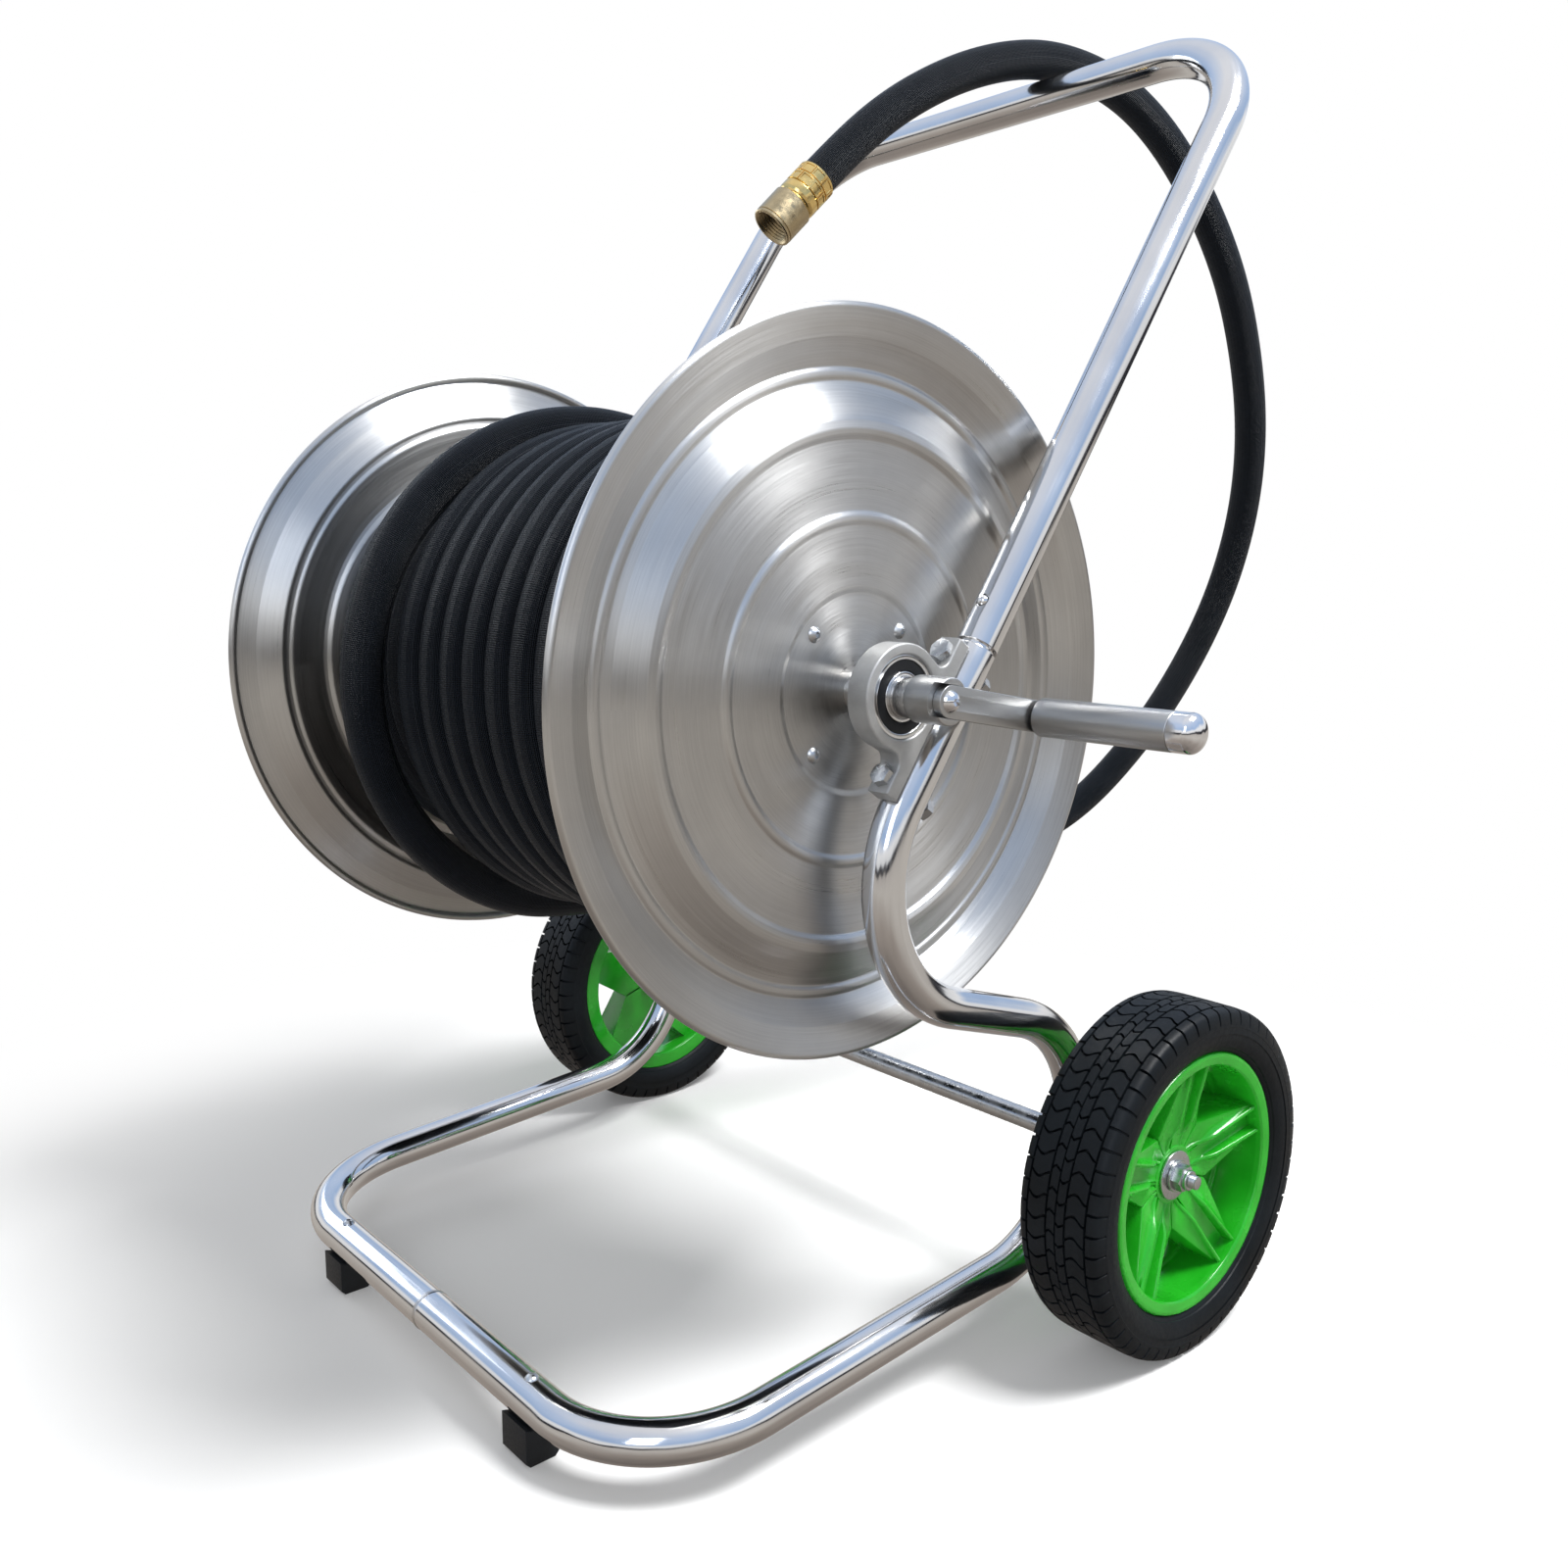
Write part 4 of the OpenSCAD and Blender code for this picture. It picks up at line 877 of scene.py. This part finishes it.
def make_crank():
    hub = turned("crank_hub_body", 0, 0.0145, 0.270, 0.296, basis(at(0, 0, SHAFT_Z), X), 0.0010, 72)
    down = math.sin(CRANK_DROP)
    out = Vector((0, math.cos(CRANK_DROP), -down))
    place = basis(at(0.290, 0, SHAFT_Z), X, out)
    slot = prism("slot", [(-0.02, -0.0101), (0.02, -0.0101), (0.02, 0.0101), (-0.02, 0.0101)], 0.0, 0.02, place)
    cut(hub, slot)
    finish_piece(hub, "satin_bar", "reel", "crank_hub")
    outline = flat_arc(0, 0, 0.010, math.pi / 2, math.pi, 24) + flat_arc(CRANK_R, 0, 0.010, -math.pi / 2, math.pi, 24)
    arm = plate("crank_arm_plate", outline, 0.006, place, [circle(0.0041, 32)[::-1]], 0.0005, 2)
    upright = Matrix.Rotation(-math.pi / 2, 4, "Y")
    arm.data.transform(upright)
    arm.matrix_world = place @ upright.inverted()
    finish_piece(arm, "satin_bar", "reel", "crank_arm")
    screw = button_screw("crank_screw_head", 0.007, 0.0044, 0.0045)
    screw.matrix_world = basis(at(0.29605, 0, SHAFT_Z), X)
    finish_piece(screw, "button_chrome", "reel", "crank_screw")
    sleeve_at = basis(Vector((REEL_AT.x + 0.298, GRIP_AT.y, GRIP_AT.z)), X)
    spindle = turned("grip_spindle_rivet", 0, 0.008, -0.011, -0.0081, sleeve_at, 0.0008, 48)
    pin = turned("pin", 0, 0.005, -0.0081, 0.086, sleeve_at, 0.0003, 40)
    finish_piece(joined("grip_spindle_bar", [spindle, pin]), "satin_bar", "reel", "grip_spindle")
    washer = turned("grip_washer_ring", 0.0053, 0.011, -0.0019, -0.0004, sleeve_at, 0.0003, 48)
    finish_piece(washer, "black_plastic", "reel", "grip_washer")
    r, end = 0.01225, 0.096
    sleeve = [(0.0051, 0), (r, 0), (r, end), (0.0085, end), (0.0085, end - 0.008), (0.0051, end - 0.008)]
    tube = lathe("grip_sleeve_tube", rounded(sleeve, 0.0006, 3), sleeve_at, 72)
    finish_piece(tube, "satin_bar", "grip", "grip_sleeve")
    dome = [(r * math.cos(a), 0.008 * math.sin(a) + end + 0.010) for a in np.linspace(0, math.pi / 2 - 0.02, 16)]
    cap = [(0, end), (r - 0.0004, end + 0.0001), (r, end + 0.0006)] + dome + [(0, end + 0.018)]
    finish_piece(lathe("grip_cap_dome", cap, sleeve_at, 72), "button_chrome", "grip", "grip_cap")


def make_inlet():
    """Brass water swivel on the far end of the shaft: body, hex and thread."""
    place = basis(at(0, 0, SHAFT_Z), -X)
    body = [(0.010, 0.274), (0.016, 0.274), (0.016, 0.280), (0.0152, 0.281), (0.0152, 0.303), (0.016, 0.304),
            (0.016, 0.306), (0.010, 0.306)]
    shell = lathe("shell", rounded(body, 0.0006, 3), place, 64)
    hexa = hex_shape("hex", 0.032, 0.009)
    hexa.matrix_world = place @ Matrix.Translation((0, 0, 0.306))
    thread = [(0.0085, 0.315), (0.0124, 0.315)]
    pitch, count = 0.0018, 12
    for k in range(count):
        thread += [(0.0132, 0.3165 + k * pitch), (0.0120, 0.3165 + (k + 0.5) * pitch)]
    thread += [(0.0120, 0.3395), (0.0114, 0.340), (0.0085, 0.340)]
    spout = lathe("spout", thread, place, 64)
    finish_piece(joined("inlet_swivel_body", [shell, hexa, spout]), "dull_brass", "inlet", "inlet_swivel")


# ---------------------------------------------------------------- wheels

def on_wheel(side):
    """Z runs outward along the axle, from the cart's middle plane."""
    return mirrored(basis(Vector((REEL_AT.x, WHEEL_AT.y, WHEEL_AT.z)), X, Y), side)


TYRE_MID, TYRE_HALF = 0.3165, 0.0335
PITCHES = 54


def tread_columns():
    """Points across the tyre as (x from its middle, radius, groove depth, wave phase)."""
    crown = [(-1.0, 0.1125), (-0.985, 0.1190), (-0.955, 0.1225), (-0.90, 0.1250), (-0.80, 0.1264), (-0.6, 0.1269),
             (0.0, 0.1270), (0.6, 0.1269), (0.80, 0.1264), (0.90, 0.1250), (0.955, 0.1225), (0.985, 0.1190),
             (1.0, 0.1125)]
    xs, rs = [c[0] * TYRE_HALF for c in crown], [c[1] for c in crown]
    rows = [(-0.0331, -0.0245, 0.5, 0.0), (-0.0228, -0.0085, 0.0, 1.0), (-0.0068, -0.0006, 0.5, -0.55),
            (0.0006, 0.0068, 0.0, 0.55), (0.0085, 0.0228, 0.5, -1.0), (0.0245, 0.0331, 0.0, 0.0)]
    columns = []
    wall = 0.0004
    for low, high, shift, wave in rows:
        count = max(3, round((high - low) / 0.0018))
        deep = 0.0032
        columns.append((low - wall, float(np.interp(low - wall, xs, rs)) - deep, 0.0, shift))
        for k in range(count + 1):
            x = low + (high - low) * k / count
            curl = wave * 0.16 * math.sin(math.pi * (k / count) * 1.6 - 0.4)
            columns.append((x, float(np.interp(x, xs, rs)), deep, shift + curl))
        columns.append((high + wall, float(np.interp(high + wall, xs, rs)) - deep, 0.0, shift))
    return columns


def tyre_mesh(name):
    """Grid around the axle: tread blocks with cross grooves, then plain side walls and the bore."""
    columns = tread_columns()
    wall = [(TYRE_HALF - 0.0002, 0.1158), (TYRE_HALF + 0.0, 0.1140), (TYRE_HALF - 0.0006, 0.1128),
            (TYRE_HALF - 0.0004, 0.1100), (TYRE_HALF - 0.0008, 0.1060), (TYRE_HALF - 0.0020, 0.1015),
            (TYRE_HALF - 0.0036, 0.0985), (TYRE_HALF - 0.0046, 0.0980), (TYRE_HALF - 0.0052, 0.0966),
            (TYRE_HALF - 0.0070, 0.0951)]
    right = [(x, r, 0.0, 0.0) for x, r in wall]
    left = [(-x, r, 0.0, 0.0) for x, r in reversed(wall)]
    line = left + columns + right
    parts = [(0.0, 0.0), (0.40, 0.0), (0.86, 0.0), (0.885, 1.0), (0.975, 1.0)]
    angles = [(k + t, g) for k in range(PITCHES) for t, g in parts]
    n = len(line)
    verts = []
    for t, g in angles:
        for x, r, deep, shift in line:
            a = 2 * math.pi * (t + shift) / PITCHES
            q = r - deep * g
            verts.append((q * math.cos(a), q * math.sin(a), x))
    m = len(angles)
    faces = [(i * n + k, i * n + (k + 1) % n, (i + 1) % m * n + (k + 1) % n, (i + 1) % m * n + k)
             for i in range(m) for k in range(n)]
    mesh = mesh_from(name, verts, faces)
    bm = bmesh.new()
    bm.from_mesh(mesh)
    bmesh.ops.recalc_face_normals(bm, faces=bm.faces)
    bm.to_mesh(mesh)
    bm.free()
    return mesh


SPOKES = 5


def spoke_section(r):
    """One spoke cut across at r along it, as (across, x): a broad back with two ribs and a channel."""
    t = min(max((r - 0.034) / 0.050, 0), 1)
    edge = min(0.715 * r, 0.0238 - 0.0118 * t)
    rise = min(max((r - 0.024) / 0.020, 0), 1)
    rise = rise * rise * (3 - 2 * rise)
    floor = 0.3231 + 0.0088 * min(max((r - 0.021) / 0.063, 0), 1)
    crest = floor + 0.0003 + 0.0058 * rise + 0.0032 * t
    shoulder = floor + 0.0008 + 0.0050 * t
    rib_r = 0.0017
    mid = min(0.0074 + 0.0028 * t, edge - rib_r)
    base = 0.3010
    crown = [(mid + rib_r * math.cos(a), crest - rib_r + rib_r * math.sin(a)) for a in np.linspace(0.2, math.pi - 0.2, 8)]
    outer = [(edge + 0.0012, base), (edge + 0.0002, shoulder - 0.0016), (edge - 0.0004, shoulder - 0.0004),
             (edge - 0.0014, shoulder)]
    if edge - 0.0014 > mid + rib_r + 0.001:
        gap = edge - 0.0014 - mid - rib_r
        lift = crest - rib_r - shoulder
        outer += [(edge - 0.0014 - gap * k, shoulder + lift * k * k * k) for k in (0.35, 0.7, 0.9)]
    else:
        outer += [(edge - 0.0014 - 0.0001 * k, shoulder + 0.0002 * k) for k in (1, 2, 3)]
    inner = mid - rib_r
    well = [(inner * math.cos(a), floor + 0.0016 * (1 - math.sin(a)) ** 2) for a in np.linspace(0.25, math.pi / 2, 6)]
    right = outer + crown + well
    left = [(-x, h) for x, h in reversed(right)][1:]
    return right + left


def rim_mesh(name):
    barrel = [(0.0950, 0.2900), (0.0950, 0.3428), (0.0938, 0.3448), (0.0915, 0.3450), (0.0862, 0.3442),
              (0.0850, 0.3428), (0.0845, 0.3390), (0.0841, 0.3120), (0.0836, 0.3100), (0.0812, 0.3090),
              (0.0808, 0.3070), (0.0802, 0.2925), (0.0810, 0.2902), (0.0830, 0.2900)]
    hub = [(0.0081, 0.2922), (0.019, 0.2922), (0.0195, 0.3000), (0.0215, 0.3010), (0.0215, 0.3236), (0.0208, 0.3240),
           (0.0081, 0.3240)]
    objects = [lathe("barrel", rounded(barrel, 0.0012, 3), None, 144), lathe("hub", rounded(hub, 0.0012, 3), None, 96)]
    radii = np.linspace(0.0165, 0.0846, 40)
    for s in range(SPOKES):
        verts, count = [], len(spoke_section(0.05))
        turn = 2 * math.pi * s / SPOKES + 0.31
        for r in radii:
            for across, h in spoke_section(r):
                verts.append((r * math.cos(turn) - across * math.sin(turn), r * math.sin(turn) + across * math.cos(turn), h))
        faces = [(i * count + k, i * count + (k + 1) % count, (i + 1) * count + (k + 1) % count, (i + 1) * count + k)
                 for i in range(len(radii) - 1) for k in range(count)]
        faces += [tuple(range(count)), tuple(range((len(radii) - 1) * count, len(radii) * count))[::-1]]
        objects.append(new_object("spoke", tidy_mesh(mesh_from("spoke", verts, faces))))
    whole = joined(name, objects)
    mesh = whole.data
    bpy.data.objects.remove(whole)
    return mesh


def make_wheels():
    tyre, rim = tyre_mesh("tyre"), rim_mesh("rim")
    for name, side in (("right", RIGHT), ("left", LEFT)):
        for kind, source, slot, shift in (("tyre", tyre, "tyre_rubber", TYRE_MID), ("rim", rim, "green_plastic", 0.0)):
            mesh = source.copy()
            mesh.transform(Matrix.Translation((0, 0, shift)))
            mesh.transform(basis((0, 0, 0), X, Y))
            if side == LEFT:
                mesh.transform(Matrix.Diagonal((-1, 1, 1, 1)))
                mesh.flip_normals()
            wheel = new_object("%s_%s_body" % (kind, name), mesh)
            wheel.matrix_world = Matrix.Translation((REEL_AT.x, WHEEL_AT.y, WHEEL_AT.z))
            finish_piece(wheel, slot, "wheel_" + name, kind + "_" + name, sharp=38 if kind == "rim" else 32)


def make_axle():
    middle = basis(Vector((REEL_AT.x, WHEEL_AT.y, WHEEL_AT.z)), X, Y)
    bars = [turned("bar", 0, 0.008, -0.326, 0.326, middle, 0.0006, 48)]
    washers, nuts, small = [], [], []
    thread = [(0, 0.325), (0.0050, 0.325)]
    for k in range(14):
        thread += [(0.0050, 0.3262 + k * 0.00125), (0.0044, 0.3268 + k * 0.00125)]
    thread += [(0.0046, 0.3437), (0.0036, 0.344), (0, 0.344)]
    for side in (RIGHT, LEFT):
        place = on_wheel(side)
        bars.append(lathe("thread", thread, place, 40))
        washers.append(turned("inner", 0.0081, 0.018, 0.2901, 0.2919, place, 0.0004, 72))
        washers.append(turned("outer", 0.0055, 0.018, 0.3243, 0.3261, place, 0.0004, 72))
        small.append(turned("small", 0.0055, 0.0115, 0.3262, 0.3284, place, 0.0006, 64))
        nut = hex_shape("nut", 0.017, 0.0065)
        nut.matrix_world = place @ Matrix.Translation((0, 0, 0.3285))
        nuts += [nut, turned("crown", 0, 0.0074, 0.3349, 0.3384, place, 0.0011, 48)]
    for group in (bars, washers, small, nuts):
        for o in group:
            if o.matrix_world.determinant() < 0:
                o.data.flip_normals()
    finish_piece(joined("axle_bar", bars), "zinc_steel", "frame", "axle")
    finish_piece(joined("wheel_washer_set", washers), "zinc_steel", "frame", "wheel_washers")
    finish_piece(joined("axle_washer_set", small), "zinc_steel", "frame", "axle_washers")
    finish_piece(joined("axle_nut_set", nuts), "zinc_steel", "frame", "axle_nuts")


# ---------------------------------------------------------------- end fitting

FIT_AT = at(*HOSE_ROUTE[-1])


def on_fitting(along, turn=0.0):
    """Z runs out of the hose's end, and X is turned around it."""
    return basis(FIT_AT + FIT_DIR * along, FIT_DIR, Z) @ Matrix.Rotation(turn, 4, "Z")


def make_ferrule():
    """Pressed brass ferrule: smooth collar and two rows of raised frames, staggered like bricks."""
    r = 0.0158
    base = [(0.0095, 0.0003), (r + 0.0002, 0.0003), (r, 0.001), (r, 0.0190), (r + 0.0008, 0.0205), (r + 0.0008, 0.0262),
            (r + 0.0001, 0.0282), (0.0146, 0.0300), (0.0095, 0.0300)]
    shell = lathe("shell", rounded(base, 0.0005, 3), on_fitting(0), 96)
    blocks = []
    around = 9
    for row, (low, high) in enumerate(((0.0010, 0.0096), (0.0104, 0.0190))):
        for k in range(around):
            mid = 2 * math.pi * (k + 0.5 * row) / around
            half = math.pi / around * 0.97
            blocks.append(frame_block(mid, half, low, high, r, r + 0.0009))
    return joined("ferrule_shell", [shell] + blocks)


def frame_block(mid, half, low, high, r_in, r_out):
    """A raised rectangle with a sunk middle, bent around the ferrule."""
    rim_a, rim_z = half * 0.22, (high - low) * 0.17
    us = [-half, -half + 0.04 * half, -half + rim_a, -half + rim_a + 0.05 * half]
    us = us + [0.0] + [-u for u in reversed(us)]
    zs = [low, low + 0.0002, low + rim_z, low + rim_z + 0.0003]
    zs = zs + [low + high - z for z in reversed(zs)]
    lift_u, lift_z = [0, 1, 1, 0, 0, 0, 1, 1, 0], [0, 1, 1, 0, 0, 1, 1, 0]
    verts, n = [], len(us)
    for j, z in enumerate(zs):
        for i, u in enumerate(us):
            edge = i in (0, n - 1) or j in (0, len(zs) - 1)
            up = 0 if edge else max(lift_u[i], lift_z[j])
            r = r_in - 0.0003 if edge else (r_out if up else r_in + 0.0002)
            verts.append((r * math.cos(mid + u), r * math.sin(mid + u), z))
    faces = [(j * n + i, j * n + i + 1, (j + 1) * n + i + 1, (j + 1) * n + i)
             for j in range(len(zs) - 1) for i in range(n - 1)]
    return new_object("block", mesh_from("block", verts, faces), on_fitting(0))


def make_fitting():
    ferrule = finish_piece(make_ferrule(), "bright_brass", "frame", "ferrule", sharp=30)
    tail = turned("hose_tail_pipe", 0.007, 0.0094, 0.0001, 0.0337, on_fitting(0), 0.0003, 48)
    collar = turned("collar", 0.007, 0.0125, 0.0337, 0.0367, on_fitting(0), 0.0003, 48)
    tail = finish_piece(joined("hose_tail_piece", [tail, collar]), "dull_brass", "frame", "hose_tail")
    washer = turned("hose_washer_ring", 0.007, 0.0128, 0.0368, 0.0393, on_fitting(0), 0.0004, 48)
    finish_piece(washer, "seal_rubber", "frame", "hose_washer")
    r = 0.0173
    body = [(0.0096, 0.0304), (r - 0.0008, 0.0304), (r, 0.0312), (r, 0.0535), (r - 0.0007, 0.0538), (r - 0.0007, 0.0542),
            (r - 0.0001, 0.0545), (r - 0.0002, 0.0563), (r - 0.001, 0.0570), (0.0150, 0.0570)]
    for k in range(7):
        body += [(0.0143, 0.0563 - k * 0.0025), (0.0133, 0.05505 - k * 0.0025)]
    body += [(0.0133, 0.0336), (0.0096, 0.0336)]
    nut = lathe("nut", body, on_fitting(0), 96)
    lugs = [plate("lug", rounded([(0, -0.0045), (0.0203, -0.0045), (0.0203, 0.0045), (0, 0.0045)], 0.0006, 3),
                  0.0105, on_fitting(0.0306, turn), (), 0.0007, 2) for turn in (1.15, 1.15 + math.pi)]
    for lug in lugs:
        keep = turned("keep", 0.0140, 0.030, -0.01, 0.03, lug.matrix_world, 0.0002, 48)
        cut(lug, keep, "INTERSECT")
    nut = finish_piece(joined("coupling_nut_body", [nut] + lugs), "dull_brass", "coupling", "coupling_nut")


# ---------------------------------------------------------------- the rest of the CAD nodes

def dress_cad_nodes():
    """Gives every CAD node that still shows the material of its slot."""
    shown = {"axle_welds": "weld_steel", "wheel_spacers": "zinc_steel", "button_spring_right": "spring_steel",
             "button_spring_left": "spring_steel", "shaft_circlips": "spring_steel", "bearing_balls": "bearing_steel",
             "drum_core": "hub_steel", "hub_plate_right": "hub_steel", "hub_plate_left": "hub_steel",
             "hub_screws": "spring_steel", "outlet_pipe": "dull_brass", "crank_key": "hub_steel",
             "inlet_seal": "seal_rubber", "swivel_clip": "spring_steel", "wheel_bushes_right": "black_plastic",
             "wheel_bushes_left": "black_plastic"}
    for name, slot in shown.items():
        obj = frame["nodes"][name]
        for holder in obj.material_slots:
            holder.material = MATS[slot]
        if not obj.material_slots:
            obj.data.materials.append(MATS[slot])


# ---------------------------------------------------------------- floor, world and lights

def make_stage():
    """A pale floor under the cart that turns to plain white around it."""
    mesh = mesh_from("floor", [(-30, -30, 0), (30, -30, 0), (30, 30, 0), (-30, 30, 0)], [(0, 1, 2, 3)])
    floor = new_object("floor", mesh)
    m = new_material("floor", (0.86, 0.86, 0.86), 0.9, Specular_IOR_Level=0.0, Emission_Strength=0.11)
    place = coords(m)
    vary_color(m, remap(m, noise(m, place, 2.0), 0.0, 1.0), (0.855, 0.855, 0.855), (0.865, 0.865, 0.865))
    far = node(m, "VectorMath", {0: place}, operation="LENGTH").outputs["Value"]
    glow = node(m, "Emission", {"Color": (1, 1, 1, 1), "Strength": 1.0})
    blend = node(m, "MapRange", {"Value": far, "From Min": 0.45, "From Max": 1.0}, interpolation_type="SMOOTHSTEP")
    mix = node(m, "MixShader", {0: blend.outputs["Result"], 1: surface(m).outputs[0], 2: glow.outputs[0]})
    out = next(n for n in m.node_tree.nodes if n.type == "OUTPUT_MATERIAL")
    m.node_tree.links.new(mix.outputs[0], out.inputs["Surface"])
    mesh.materials.append(m)
    floor.visible_glossy = False


def make_world():
    """White behind the cart, and a soft sky over warm ground in its reflections."""
    world = bpy.data.worlds.new("world")
    bpy.context.scene.world = world
    world.use_nodes = True
    tree = world.node_tree
    tree.nodes.clear()
    new, tie = tree.nodes.new, tree.links.new
    out = new("ShaderNodeOutputWorld")
    way = new("ShaderNodeTexCoord")
    split = new("ShaderNodeSeparateXYZ")
    tie(way.outputs["Generated"], split.inputs[0])
    ramp = new("ShaderNodeValToRGB")
    stops = [(0.0, (0.22, 0.19, 0.17)), (0.22, (0.42, 0.37, 0.33)), (0.38, (0.66, 0.62, 0.57)),
             (0.465, (0.60, 0.56, 0.52)), (0.48, (0.03, 0.03, 0.035)), (0.52, (0.04, 0.04, 0.05)),
             (0.535, (0.95, 0.96, 0.98)), (0.60, (1.10, 1.10, 1.10)), (0.67, (0.45, 0.62, 0.92)),
             (0.80, (0.62, 0.76, 1.02)), (1.0, (0.98, 1.0, 1.06))]
    ramp.color_ramp.elements[0].position = stops[0][0]
    ramp.color_ramp.elements[0].color = (*stops[0][1], 1)
    ramp.color_ramp.elements[1].position = 1.0
    ramp.color_ramp.elements[1].color = (*stops[-1][1], 1)
    for position, color in stops[1:-1]:
        e = ramp.color_ramp.elements.new(position)
        e.color = (*color, 1)
    half = new("ShaderNodeMath")
    half.operation = "MULTIPLY_ADD"
    half.inputs[1].default_value = 0.5
    half.inputs[2].default_value = 0.5
    tie(split.outputs["Z"], half.inputs[0])
    patches = new("ShaderNodeTexNoise")
    patches.inputs["Scale"].default_value = 2.2
    patches.inputs["Detail"].default_value = 1.0
    tie(way.outputs["Generated"], patches.inputs["Vector"])
    shift = new("ShaderNodeMath")
    shift.operation = "MULTIPLY_ADD"
    shift.inputs[1].default_value = 0.16
    shift.inputs[2].default_value = -0.08
    tie(patches.outputs["Fac"], shift.inputs[0])
    total = new("ShaderNodeMath")
    tie(half.outputs[0], total.inputs[0])
    tie(shift.outputs[0], total.inputs[1])
    tie(total.outputs[0], ramp.inputs[0])
    seen = new("ShaderNodeBackground")
    seen.inputs["Color"].default_value = (1, 1, 1, 1)
    glow = new("ShaderNodeBackground")
    tie(ramp.outputs["Color"], glow.inputs["Color"])
    glow.inputs["Strength"].default_value = 0.88
    soft = new("ShaderNodeBackground")
    soft.inputs["Color"].default_value = (0.98, 0.99, 1, 1)
    soft.inputs["Strength"].default_value = 0.42
    path = new("ShaderNodeLightPath")
    for_glossy = new("ShaderNodeMixShader")
    tie(path.outputs["Is Glossy Ray"], for_glossy.inputs[0])
    tie(soft.outputs[0], for_glossy.inputs[1])
    tie(glow.outputs[0], for_glossy.inputs[2])
    mix = new("ShaderNodeMixShader")
    tie(path.outputs["Is Camera Ray"], mix.inputs[0])
    tie(for_glossy.outputs[0], mix.inputs[1])
    tie(seen.outputs[0], mix.inputs[2])
    tie(mix.outputs[0], out.inputs["Surface"])


def area_light(name, where, toward, size, power, color=(1, 1, 1)):
    data = bpy.data.lights.new(name, "AREA")
    data.shape = "RECTANGLE"
    data.size, data.size_y = size
    data.energy = power
    data.color = color
    light = bpy.data.objects.new(name, data)
    light.matrix_world = basis(where, Vector(where) - Vector(toward), Z)
    bpy.context.scene.collection.objects.link(light)


def make_lights():
    middle = Vector((0, 0, 0.4))
    area_light("key", Vector((1.5, 0.75, 3.1)), middle, (1.15, 1.15), 150)
    area_light("front", Vector((1.6, -2.6, 1.9)), middle, (1.6, 1.0), 16, (0.95, 0.97, 1))
    area_light("left", Vector((-2.8, -0.6, 1.6)), middle, (0.8, 1.8), 10, (0.92, 0.96, 1))


# ---------------------------------------------------------------- build

hose_piece, hose_path = make_hose()
make_fitting()
make_frame_tubes()
make_handle()
make_buttons()
make_feet()
make_housing_bolts()
make_housings()
make_bearings()
make_flanges()
make_shaft()
make_crank()
make_inlet()
make_wheels()
make_axle()
dress_cad_nodes()
make_stage()
make_world()
make_lights()
bpy.context.scene.view_settings.view_transform = "Standard"
